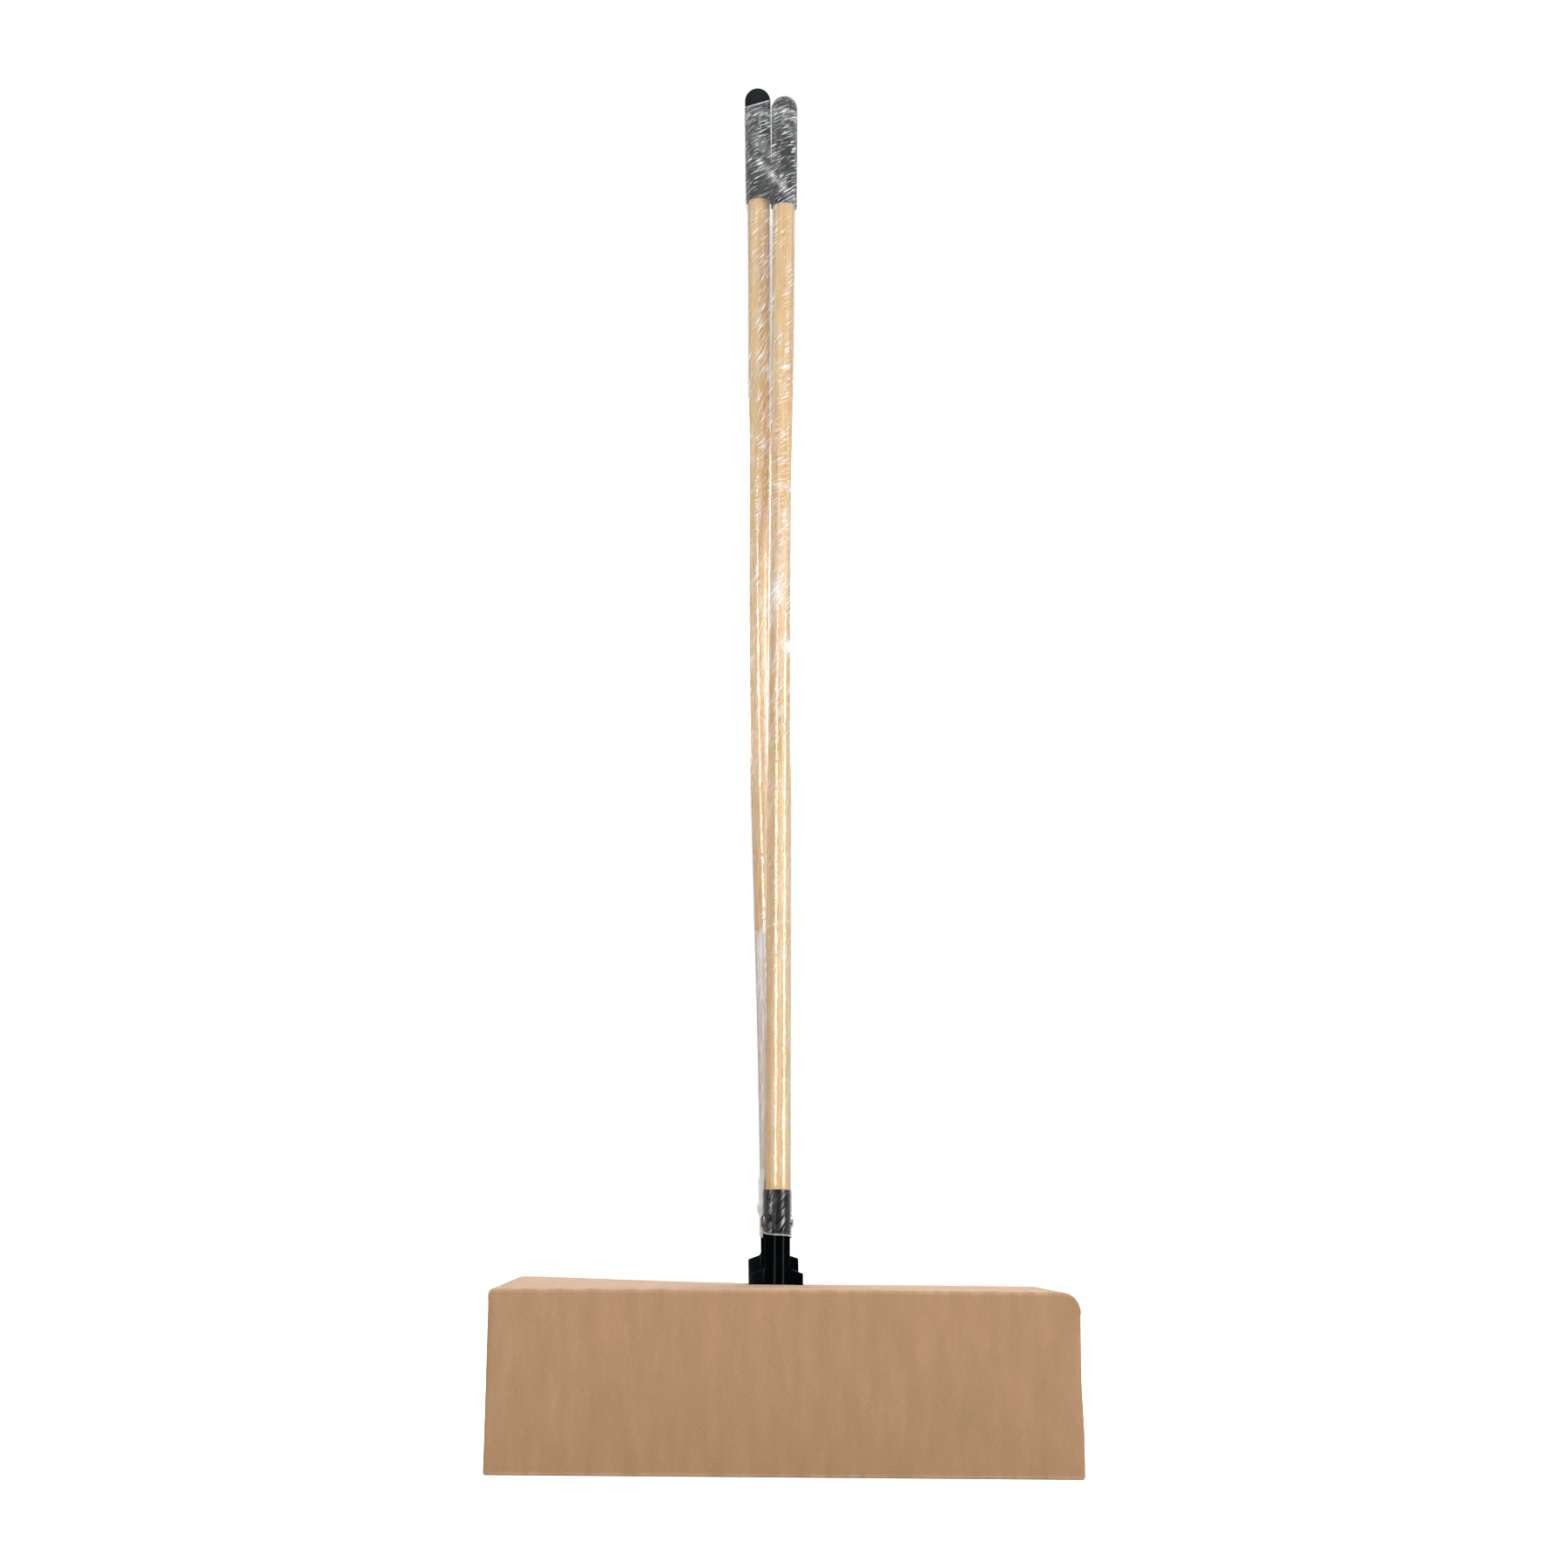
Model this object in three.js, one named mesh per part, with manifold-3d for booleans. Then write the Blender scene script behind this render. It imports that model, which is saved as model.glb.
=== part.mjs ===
// A retail bundle of two long-handled snow brush scrapers. The two heads stand nested in one corrugated
// carton, and stretch film binds the two handles above it.
// Millimetres, +Z up, +X along the carton's width, +Y to its back, origin under the middle of the carton.
import * as THREE from "three";
import { mergeVertices } from "three/addons/utils/BufferGeometryUtils.js";
import Module from "manifold-3d";

const wasm = await Module();
wasm.setup();

// ---- Driving dimensions ----
const GAP = 0.3; // left between pieces that touch
const WIDTH = 650; // carton, outside
const DEPTH = 270;
const HEIGHT = 196;
const BOARD = 4; // corrugated board
const MINOR_REACH = 130; // end flaps, from the side wall inwards
const TAB_WIDTH = 35;
const TAB_INSET = 6; // short of the flaps above and below
const NOTCH_CLEARANCE = 6; // round a socket, in the long flaps

const HANDLE_LENGTH = 1524; // a 60 inch handle
const HANDLE_RADIUS = 14.3;
const NECK_RADIUS = 12.2; // the end that is turned down for the socket
const NECK_CHAMFER = 1.5;
const BOW_STEPS = 12; // rings of facets along a bowed handle
const GRIP_RADIUS = 16.5;
const GRIP_LENGTH = 155;
const GRIP_WALL = 1.9;

const SOCKET_RADIUS = 14.75;
const SOCKET_BORE = 12.55;
const SOCKET_TOP = 171; // above the head block, along the handle
const SOCKET_FLOOR = 40;
const SOCKET_ROOT = -14; // low enough for the tube to meet the block's face all round
const MOUTH_CHAMFER = 0.7;
const WING_HALF = 30; // the flat wings that brace the socket
const WING_TOP = 77;
const WING_RISE = 5; // from the wing's outer corner up to the tube
const WING_THICK = 5;
const WING_BEVEL = 0.8;
const WING_FILLET = { reach: 3.5, low: -1.2, high: 3 }; // where a wing's top edge runs up the tube
const RIB = { inner: 8, outer: 22, low: -16, bend: -4, top: 52, topReach: 14, thick: 5 };
const FOOT = { length: 112, width: 54, thick: 6, corner: 10, bevel: 1 };
const BOLT_HEIGHT = 136;
const BOLT_RADIUS = 2.5;
const BOLT_HEAD = { radius: 4.75, height: 2.6, chamfer: 1.4 };
const NUT = { radius: 4.6, height: 2.6 };

const HEAD_ANGLE = THREE.MathUtils.degToRad(35); // between the handle and the bristles
const BLOCK = { length: 610, width: 60, thick: 30, corner: 14, bevel: 2.5 };
const BRISTLE_ROWS = 5;
const BRISTLE_PITCH = 11;
const BRISTLE_THICK = 3.5;
const BRISTLE_LENGTH = 107.5;
const BRISTLE_SPAN = 590;
const BLADE = { length: 606, inner: 12, edge: 50, thick: 3, sharp: 3, land: 0.8 };
const BLADE_NOTCH = { length: FOOT.length + 6, width: 17 };

const FOOT_SCREW = { shank: 2.4, headRadius: 5, headHeight: 3, reach: 24 };
const BLADE_SCREW = { shank: 2.1, headRadius: 4.5, headHeight: 2.4, reach: 18 };
const SCREW_CLEARANCE = 0.35;
const FOOT_SCREW_X = 44;
const FOOT_SCREW_Y = 17;
const BLADE_SCREW_X = [-270, -180, -90, 90, 180, 270];
const BLADE_SCREW_Y = 21;

const FILM_THICK = 0.5;
const FILM_CLEARANCE = 0.6;
const FILM_BOTTOM = 254.5;
const FILM_TOP = 1685;
const FILM_ARC_STEPS = 14; // round each handle
const FILM_WEB_STEPS = 5; // across each flat web between the handles
const FILM_BULGE = { radius: 18.5, reach: 15, ramp: 8 }; // over the ends of a cross bolt
const FILM_STEP = 6; // above a socket's mouth, where the film comes in to the handle
const FILM_FLARE = { below: 12, length: 10 }; // where it goes out again under a grip
const FILM_LEVELS = { first: 345, pitch: 119, count: 10, least: 3 };

// Where each tool's axis meets its head block, how the handle leans, and how far the wood bows sideways.
const TOOLS = [
  {
    name: "front",
    place: new THREE.Vector3(-8, -19.5, 134.5),
    lean: new THREE.Vector2(-0.033, -0.0022),
    bow: -1.7,
  },
  {
    name: "rear",
    place: new THREE.Vector3(-11.3, 85, 148),
    lean: new THREE.Vector2(0.0325, -0.0227),
    bow: -6,
  },
];

const ROUND = 28; // facets of a handle
const SMALL_ROUND = 12; // facets of a screw

// ---- Materials ----
const material = (color, roughness, metalness = 0, extra = {}) =>
  new THREE.MeshStandardMaterial({ color, roughness, metalness, ...extra });
const MATERIALS = {
  board: material(0xb48e6c, 0.9),
  wood: material(0xe0bd8e, 0.5),
  grip: material(0x1d2022, 0.6),
  socket: material(0x0b0d0f, 0.4),
  block: material(0x16181a, 0.5),
  bristle: material(0x2a5f9e, 0.5),
  steel: material(0xb9bcc0, 0.35, 1),
  film: material(0xe6e8ea, 0.25, 0, { transparent: true, opacity: 0.3 }),
};

// ---- Solids: manifold-3d joins and cuts ----
function toSolid(geometry) {
  const loose = geometry.index ? geometry.toNonIndexed() : geometry;
  const bare = new THREE.BufferGeometry();
  bare.setAttribute("position", loose.getAttribute("position"));
  const merged = mergeVertices(bare, 1e-4);
  return new wasm.Manifold(
    new wasm.Mesh({
      numProp: 3,
      vertProperties: merged.attributes.position.array,
      triVerts: new Uint32Array(merged.index.array),
    }),
  );
}

function toGeometry(solid) {
  const mesh = solid.getMesh();
  const geometry = new THREE.BufferGeometry();
  geometry.setAttribute("position", new THREE.BufferAttribute(mesh.vertProperties, 3));
  geometry.setIndex(new THREE.BufferAttribute(mesh.triVerts, 1));
  return geometry;
}

const join = (first, ...others) =>
  toGeometry(others.reduce((solid, other) => solid.add(toSolid(other)), toSolid(first)));
const cut = (body, ...tools) =>
  toGeometry(tools.reduce((solid, tool) => solid.subtract(toSolid(tool)), toSolid(body)));

// ---- Basic shapes ----
function box(x0, x1, y0, y1, z0, z1) {
  const geometry = new THREE.BoxGeometry(x1 - x0, y1 - y0, z1 - z0);
  return geometry.translate((x0 + x1) / 2, (y0 + y1) / 2, (z0 + z1) / 2);
}

// A profile of [radius, height] points turned about +Z.
function turned(profile, facets) {
  const points = profile.map(([radius, height]) => new THREE.Vector2(radius, height));
  return new THREE.LatheGeometry(points, facets).rotateX(Math.PI / 2);
}

// Points of a quarter circle that closes a round end: from the wall at full radius to the axis.
function domePoints(radius, base, steps = 6) {
  return Array.from({ length: steps + 1 }, (_, i) => {
    const angle = (i / steps) * (Math.PI / 2);
    return [i === steps ? 0 : radius * Math.cos(angle), base + radius * Math.sin(angle)];
  });
}

function extruded(shape, depth, bevel = 0) {
  return new THREE.ExtrudeGeometry(shape, {
    depth: depth - 2 * bevel,
    bevelEnabled: bevel > 0,
    bevelThickness: bevel,
    bevelSize: bevel,
    bevelOffset: -bevel,
    bevelSegments: 1,
    curveSegments: 6,
  }).translate(0, 0, bevel);
}

const polygon = (points) => new THREE.Shape(points.map(([u, v]) => new THREE.Vector2(u, v)));

// A (y, z) outline drawn out along X, centred.
function alongX(shape, length) {
  const turn = new THREE.Matrix4().makeBasis(
    new THREE.Vector3(0, 1, 0),
    new THREE.Vector3(0, 0, 1),
    new THREE.Vector3(1, 0, 0),
  );
  return extruded(shape, length).translate(0, 0, -length / 2).applyMatrix4(turn);
}

// An (x, z) outline drawn out along Y, centred.
function alongY(shape, length, bevel = 0) {
  const turn = new THREE.Matrix4().makeBasis(
    new THREE.Vector3(1, 0, 0),
    new THREE.Vector3(0, 0, 1),
    new THREE.Vector3(0, -1, 0),
  );
  return extruded(shape, length, bevel).translate(0, 0, -length / 2).applyMatrix4(turn);
}

function roundedRectangle(width, height, corner) {
  const [x, y] = [width / 2, height / 2];
  const shape = new THREE.Shape();
  shape.absarc(x - corner, y - corner, corner, 0, Math.PI / 2);
  shape.absarc(corner - x, y - corner, corner, Math.PI / 2, Math.PI);
  shape.absarc(corner - x, corner - y, corner, Math.PI, 1.5 * Math.PI);
  shape.absarc(x - corner, corner - y, corner, 1.5 * Math.PI, 2 * Math.PI);
  shape.closePath();
  return shape;
}

const rod = (radius, z0, z1, facets = SMALL_ROUND) =>
  turned([[0, z0], [radius, z0], [radius, z1], [0, z1]], facets);

function part(name, geometry, use) {
  const mesh = new THREE.Mesh(geometry, use);
  mesh.name = name;
  return mesh;
}

// ---- Handle and grip, on the tool's own axis ----
const HANDLE_BOTTOM = SOCKET_FLOOR + 1;
const HANDLE_TOP = HANDLE_BOTTOM + HANDLE_LENGTH;
const GRIP_INSIDE = GRIP_RADIUS - GRIP_WALL;
const GRIP_TOP = HANDLE_TOP + GRIP_WALL + GAP;
const GRIP_BOTTOM = GRIP_TOP - GRIP_LENGTH;
const BOW_START = SOCKET_TOP;
const BOW_END = GRIP_BOTTOM;

// Sideways offset of a bowed handle at a height: level at both ends, widest halfway.
function bowAt(height, bow) {
  const share = THREE.MathUtils.clamp((height - BOW_START) / (BOW_END - BOW_START), 0, 1);
  return bow * Math.sin(Math.PI * share) ** 2;
}

const crossHole = () =>
  rod(BOLT_RADIUS + GAP, -2 * SOCKET_RADIUS, 2 * SOCKET_RADIUS)
    .rotateY(Math.PI / 2)
    .translate(0, 0, BOLT_HEIGHT);

function handle(bow) {
  const shoulder = SOCKET_TOP + GAP;
  const start = shoulder + NECK_CHAMFER;
  const length = HANDLE_TOP - HANDLE_RADIUS - start;
  const shaft = Array.from({ length: BOW_STEPS + 1 }, (_, i) => [
    HANDLE_RADIUS,
    start + (length * i) / BOW_STEPS,
  ]);
  const profile = [
    [0, HANDLE_BOTTOM],
    [NECK_RADIUS - NECK_CHAMFER, HANDLE_BOTTOM],
    [NECK_RADIUS, HANDLE_BOTTOM + NECK_CHAMFER],
    [NECK_RADIUS, shoulder],
    [HANDLE_RADIUS - NECK_CHAMFER, shoulder],
    ...shaft,
    ...domePoints(HANDLE_RADIUS, HANDLE_TOP - HANDLE_RADIUS).slice(1),
  ];
  const geometry = cut(turned(profile, ROUND), crossHole());
  const position = geometry.getAttribute("position");
  for (let i = 0; i < position.count; i++) {
    position.setX(i, position.getX(i) + bowAt(position.getZ(i), bow));
  }
  return geometry;
}

function grip() {
  const inside = domePoints(GRIP_INSIDE, GRIP_TOP - GRIP_WALL - GRIP_INSIDE).reverse();
  const outside = domePoints(GRIP_RADIUS, GRIP_TOP - GRIP_RADIUS, 8);
  const profile = [...inside, [GRIP_INSIDE, GRIP_BOTTOM], [GRIP_RADIUS, GRIP_BOTTOM], ...outside];
  return turned(profile, ROUND);
}

// ---- Socket bracket: tube, wings, rib and foot in one moulding ----
const onBlock = (geometry) => geometry.rotateX(-HEAD_ANGLE); // from the block's frame to the handle's

function footScrewPlaces() {
  return [-1, 1].flatMap((x) => [-1, 1].map((y) => [x * FOOT_SCREW_X, y * FOOT_SCREW_Y]));
}

function socketBracket() {
  const tube = turned(
    [
      [0, SOCKET_ROOT],
      [SOCKET_RADIUS, SOCKET_ROOT],
      [SOCKET_RADIUS, SOCKET_TOP - MOUTH_CHAMFER],
      [SOCKET_RADIUS - MOUTH_CHAMFER, SOCKET_TOP],
      [SOCKET_BORE, SOCKET_TOP],
      [SOCKET_BORE, SOCKET_FLOOR],
      [0, SOCKET_FLOOR],
    ],
    ROUND,
  );
  const buried = (SOCKET_RADIUS + SOCKET_BORE) / 2; // inside the tube's wall
  const rise = WING_TOP + WING_RISE;
  const wings = alongY(
    polygon([
      [-WING_HALF, 0],
      [WING_HALF, 0],
      [WING_HALF, WING_TOP],
      [buried + WING_FILLET.reach, rise + WING_FILLET.low],
      [buried, rise + WING_FILLET.high],
      [-buried, rise + WING_FILLET.high],
      [-buried - WING_FILLET.reach, rise + WING_FILLET.low],
      [-WING_HALF, WING_TOP],
    ]),
    WING_THICK,
    WING_BEVEL,
  );
  const rib = alongX(
    polygon([
      [RIB.inner, RIB.low],
      [RIB.outer, RIB.low],
      [RIB.outer, RIB.bend],
      [RIB.topReach, RIB.top],
      [RIB.inner, RIB.top],
    ]),
    RIB.thick,
  );
  const plate = extruded(roundedRectangle(FOOT.length, FOOT.width, FOOT.corner), FOOT.thick, FOOT.bevel);
  const foot = onBlock(plate.translate(0, 0, GAP));
  const [wide, deep] = [FOOT.length, FOOT.width];
  const below = onBlock(box(-wide, wide, -deep, deep, -deep, GAP));
  const screwHoles = footScrewPlaces().map(([x, y]) =>
    onBlock(rod(FOOT_SCREW.shank + SCREW_CLEARANCE, -FOOT.thick, 2 * FOOT.thick).translate(x, y, 0)),
  );
  const bore = rod(SOCKET_BORE, SOCKET_FLOOR, SOCKET_TOP + FOOT.thick, ROUND);
  return cut(join(tube, wings, rib, foot), below, bore, crossHole(), ...screwHoles);
}

// ---- Cross bolt and nut through socket and handle ----
function crossBolt() {
  const end = SOCKET_RADIUS + NUT.height;
  const face = -SOCKET_RADIUS - GAP;
  const profile = [
    [0, face - BOLT_HEAD.height],
    [BOLT_HEAD.radius - BOLT_HEAD.chamfer, face - BOLT_HEAD.height],
    [BOLT_HEAD.radius, face - BOLT_HEAD.height + BOLT_HEAD.chamfer],
    [BOLT_HEAD.radius, face],
    [BOLT_RADIUS, face],
    [BOLT_RADIUS, end],
    [0, end],
  ];
  return turned(profile, SMALL_ROUND + 2).rotateY(Math.PI / 2).translate(0, 0, BOLT_HEIGHT);
}

function crossNut() {
  const [start, end] = [SOCKET_RADIUS + GAP, SOCKET_RADIUS + GAP + NUT.height];
  const hole = (BOLT_RADIUS + GAP) / Math.cos(Math.PI / 6); // corner of a hexagon that clears the bolt
  const profile = [
    [hole, start],
    [NUT.radius, start],
    [NUT.radius, end],
    [hole, end],
    [hole, start],
  ];
  return turned(profile, 6).rotateY(Math.PI / 2).translate(0, 0, BOLT_HEIGHT);
}

// ---- Head: block, bristles, scraper blade and screws, in the block's frame (top face at z = 0) ----
function screw({ shank, headRadius, headHeight, reach }, seat) {
  return turned(
    [
      [0, seat - reach],
      [shank * 0.4, seat - reach],
      [shank, seat - reach + shank * 1.5],
      [shank, seat],
      [headRadius, seat],
      [headRadius, seat + headHeight * 0.4],
      [headRadius * 0.65, seat + headHeight],
      [0, seat + headHeight],
    ],
    SMALL_ROUND,
  );
}

function headBlock() {
  const body = extruded(
    roundedRectangle(BLOCK.length, BLOCK.width, BLOCK.corner),
    BLOCK.thick,
    BLOCK.bevel,
  ).translate(0, 0, -BLOCK.thick);
  const pilot = (spec, x, y, seat) =>
    rod(spec.shank + SCREW_CLEARANCE, seat - spec.reach - 1, BLOCK.bevel).translate(x, y, 0);
  const holes = [
    ...footScrewPlaces().map(([x, y]) => pilot(FOOT_SCREW, x, y, FOOT.thick)),
    ...BLADE_SCREW_X.map((x) => pilot(BLADE_SCREW, x, BLADE_SCREW_Y, BLADE.thick)),
  ];
  return cut(body, ...holes);
}

function bristleRow(index) {
  const y = (index - (BRISTLE_ROWS - 1) / 2) * BRISTLE_PITCH;
  const top = -BLOCK.thick - GAP;
  const [half, thick] = [BRISTLE_SPAN / 2, BRISTLE_THICK / 2];
  return box(-half, half, y - thick, y + thick, top - BRISTLE_LENGTH, top);
}

function scraperBlade() {
  const { inner, edge, thick, sharp, land } = BLADE;
  const section = polygon([
    [inner, GAP],
    [edge - sharp, GAP],
    [edge, GAP + thick - land],
    [edge, GAP + thick],
    [inner, GAP + thick],
  ]);
  const half = BLADE_NOTCH.length / 2;
  const notch = box(-half, half, 0, inner + BLADE_NOTCH.width, 0, 2 * thick);
  const holes = BLADE_SCREW_X.map((x) =>
    rod(BLADE_SCREW.shank + SCREW_CLEARANCE, 0, 2 * thick).translate(x, BLADE_SCREW_Y, 0),
  );
  return cut(alongX(section, BLADE.length), notch, ...holes);
}

// ---- One tool ----
function tool({ name, place, lean, bow }) {
  const head = new THREE.Group();
  head.rotation.x = -HEAD_ANGLE;
  head.add(part(`${name}_head_block`, headBlock(), MATERIALS.block));
  for (let row = 0; row < BRISTLE_ROWS; row++) {
    head.add(part(`${name}_bristle_row_${row + 1}`, bristleRow(row), MATERIALS.bristle));
  }
  head.add(part(`${name}_scraper_blade`, scraperBlade(), MATERIALS.steel));
  BLADE_SCREW_X.forEach((x, i) => {
    const geometry = screw(BLADE_SCREW, BLADE.thick + 2 * GAP).translate(x, BLADE_SCREW_Y, 0);
    head.add(part(`${name}_scraper_screw_${i + 1}`, geometry, MATERIALS.steel));
  });
  footScrewPlaces().forEach(([x, y], i) => {
    const geometry = screw(FOOT_SCREW, FOOT.thick + 2 * GAP).translate(x, y, 0);
    head.add(part(`${name}_bracket_screw_${i + 1}`, geometry, MATERIALS.steel));
  });

  const whole = new THREE.Group();
  whole.add(head);
  whole.add(part(`${name}_socket_bracket`, socketBracket(), MATERIALS.socket));
  whole.add(part(`${name}_cross_bolt`, crossBolt(), MATERIALS.steel));
  whole.add(part(`${name}_cross_nut`, crossNut(), MATERIALS.steel));
  whole.add(part(`${name}_handle`, handle(bow), MATERIALS.wood));
  whole.add(part(`${name}_grip`, grip(), MATERIALS.grip));
  whole.position.copy(place);
  whole.rotation.set(lean.x, lean.y, 0);
  return whole;
}

// ---- Stretch film: one skin round both handles ----
// The circle of a tool at a height above the floor: its middle and the radius that the film lies on.
function circleAt({ place, lean, bow }, z) {
  const axis = new THREE.Vector3(0, 0, 1).applyEuler(new THREE.Euler(lean.x, lean.y, 0));
  const along = (z - place.z) / axis.z;
  const centre = place.clone().addScaledVector(axis, along);
  centre.x += bowAt(along, bow);
  const nearBolt = Math.abs(along - BOLT_HEIGHT);
  const bulge = THREE.MathUtils.clamp((FILM_BULGE.reach - nearBolt) / FILM_BULGE.ramp, 0, 1);
  const flare = THREE.MathUtils.clamp((along - GRIP_BOTTOM + FILM_FLARE.below) / FILM_FLARE.length, 0, 1);
  const plain = along < SOCKET_TOP + FILM_STEP ? SOCKET_RADIUS : HANDLE_RADIUS;
  const radius = THREE.MathUtils.lerp(plain, FILM_BULGE.radius, bulge);
  return { centre, radius: THREE.MathUtils.lerp(radius, GRIP_RADIUS, flare) };
}

function filmHeights() {
  const { first, pitch, count, least } = FILM_LEVELS;
  const marks = Array.from({ length: count }, (_, i) => first + i * pitch);
  const flat = FILM_BULGE.reach - FILM_BULGE.ramp;
  const local = [
    BOLT_HEIGHT - flat,
    BOLT_HEIGHT + flat,
    BOLT_HEIGHT + FILM_BULGE.reach,
    SOCKET_TOP + FILM_STEP - least,
    GRIP_BOTTOM - FILM_FLARE.below,
    GRIP_BOTTOM,
  ];
  const near = TOOLS.flatMap(({ place }) => local.map((height) => place.z + height));
  const sorted = [FILM_BOTTOM, ...marks, ...near, FILM_TOP].sort((a, b) => a - b);
  return sorted.filter((z, i) => i === 0 || z - sorted[i - 1] > least);
}

// The film's cross-section: an arc round each handle, and a straight web along each common tangent.
function filmRing(z, offset) {
  const [front, rear] = TOOLS.map((one) => circleAt(one, z));
  const between = rear.centre.clone().sub(front.centre);
  const heading = Math.atan2(between.y, between.x);
  const reach = Math.hypot(between.x, between.y);
  const swing = Math.acos((front.radius - rear.radius) / reach); // from that heading to a web's normal
  const pointAt = ({ centre, radius }, angle) => {
    const spoke = new THREE.Vector3(Math.cos(angle), Math.sin(angle), 0);
    return centre.clone().setZ(z).addScaledVector(spoke, radius + offset);
  };
  const arc = (circle, start, end) =>
    Array.from({ length: FILM_ARC_STEPS + 1 }, (_, i) =>
      pointAt(circle, THREE.MathUtils.lerp(start, end, i / FILM_ARC_STEPS)),
    );
  const web = (from, to) =>
    Array.from({ length: FILM_WEB_STEPS - 1 }, (_, i) => from.clone().lerp(to, (i + 1) / FILM_WEB_STEPS));
  const roundFront = arc(front, heading + swing, heading - swing + 2 * Math.PI);
  const roundRear = arc(rear, heading - swing, heading + swing);
  return [
    ...roundFront,
    ...web(roundFront.at(-1), roundRear[0]),
    ...roundRear,
    ...web(roundRear.at(-1), roundFront[0]),
  ];
}

function stretchFilm() {
  const heights = filmHeights();
  const inside = heights.map((z) => filmRing(z, FILM_CLEARANCE));
  const outside = heights.map((z) => filmRing(z, FILM_CLEARANCE + FILM_THICK));
  const rings = [...outside, ...inside.reverse()]; // up the outside, down the inside
  const points = rings.flat();
  const sides = rings[0].length;
  const indices = [];
  rings.forEach((_, level) => {
    const [low, high] = [level * sides, ((level + 1) % rings.length) * sides];
    for (let i = 0; i < sides; i++) {
      const next = (i + 1) % sides;
      // A web is twisted, so both of its skins are split along the same diagonals to stay parallel.
      if (level < heights.length) {
        indices.push(low + i, low + next, high + next, low + i, high + next, high + i);
      } else {
        indices.push(low + i, low + next, high + i, low + next, high + next, high + i);
      }
    }
  });
  const geometry = new THREE.BufferGeometry().setFromPoints(points);
  geometry.setIndex(indices);
  return geometry;
}

// ---- Carton: four walls, a glue tab, and four flaps at each end ----
// The notch that a long flap has for a socket, as a tool that cuts it: end is the notch's closed end.
function notch(x, end) {
  const half = WING_HALF + NOTCH_CLEARANCE;
  const open = end < 0 ? BOARD : -BOARD; // past the flap's free edge
  const [near, far] = [Math.min(open, end), Math.max(open, end)];
  return box(x - half, x + half, near, far, HEIGHT - 2 * BOARD, HEIGHT + BOARD);
}

function carton() {
  const [x, y] = [WIDTH / 2, DEPTH / 2];
  const [inX, inY] = [x - BOARD - GAP, y - BOARD - GAP];
  const low = BOARD + GAP; // over the long bottom flaps
  const high = HEIGHT - BOARD - GAP; // under the long top flaps
  const seam = GAP / 2;
  const board = (name, geometry) => part(name, geometry, MATERIALS.board);
  const mitre = GAP * Math.SQRT1_2; // half the gap, measured along a 45 degree corner
  const longWall = (side) => {
    const [inside, outside] = [side * (y - BOARD), side * y];
    const crease = high + GAP - mitre;
    const section = polygon([[outside, low], [inside, low], [inside, crease], [outside, crease + BOARD]]);
    return alongX(section, WIDTH);
  };
  const topFlap = (side) => {
    const [inside, outside] = [side * (y - BOARD - mitre), side * (y - mitre)];
    const [under, over] = [HEIGHT - BOARD, HEIGHT];
    const edge = side * seam;
    return alongX(polygon([[edge, under], [inside, under], [outside, over], [edge, over]]), WIDTH);
  };
  const bottomFlap = (side) => {
    const [near, far] = side < 0 ? [-y, -seam] : [seam, y];
    return box(-x, x, near, far, 0, BOARD);
  };
  const shortFlap = (z, side) => {
    const [near, far] = side < 0 ? [-inX, -inX + MINOR_REACH] : [inX - MINOR_REACH, inX];
    return box(near, far, -inY, inY, z, z + BOARD);
  };
  const [tabLow, tabHigh] = [2 * low + TAB_INSET, high - BOARD - TAB_INSET];
  const notches = TOOLS.map(({ place }, i) => {
    const side = i === 0 ? -1 : 1;
    return notch(place.x, place.y + side * (SOCKET_RADIUS + NOTCH_CLEARANCE));
  });
  return [
    board("carton_front_wall", longWall(-1)),
    board("carton_back_wall", longWall(1)),
    board("carton_left_wall", box(-x, -x + BOARD, -inY, inY, low, high)),
    board("carton_right_wall", box(x - BOARD, x, -inY, inY, low, high)),
    board("carton_glue_tab", box(inX - BOARD, inX, inY - TAB_WIDTH, inY, tabLow, tabHigh)),
    board("bottom_flap_front", bottomFlap(-1)),
    board("bottom_flap_back", bottomFlap(1)),
    board("bottom_flap_left", shortFlap(low, -1)),
    board("bottom_flap_right", shortFlap(low, 1)),
    board("top_flap_front", cut(topFlap(-1), notches[0])),
    board("top_flap_back", cut(topFlap(1), notches[1])),
    board("top_flap_left", shortFlap(high - BOARD, -1)),
    board("top_flap_right", shortFlap(high - BOARD, 1)),
  ];
}

// ---- The bundle ----
const bundle = new THREE.Group();
bundle.add(...carton());
bundle.add(...TOOLS.map(tool));
bundle.add(part("stretch_film", stretchFilm(), MATERIALS.film));

export default bundle;
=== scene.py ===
import math

import bmesh
import bpy
import numpy as np
from mathutils import Matrix, Vector


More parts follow.
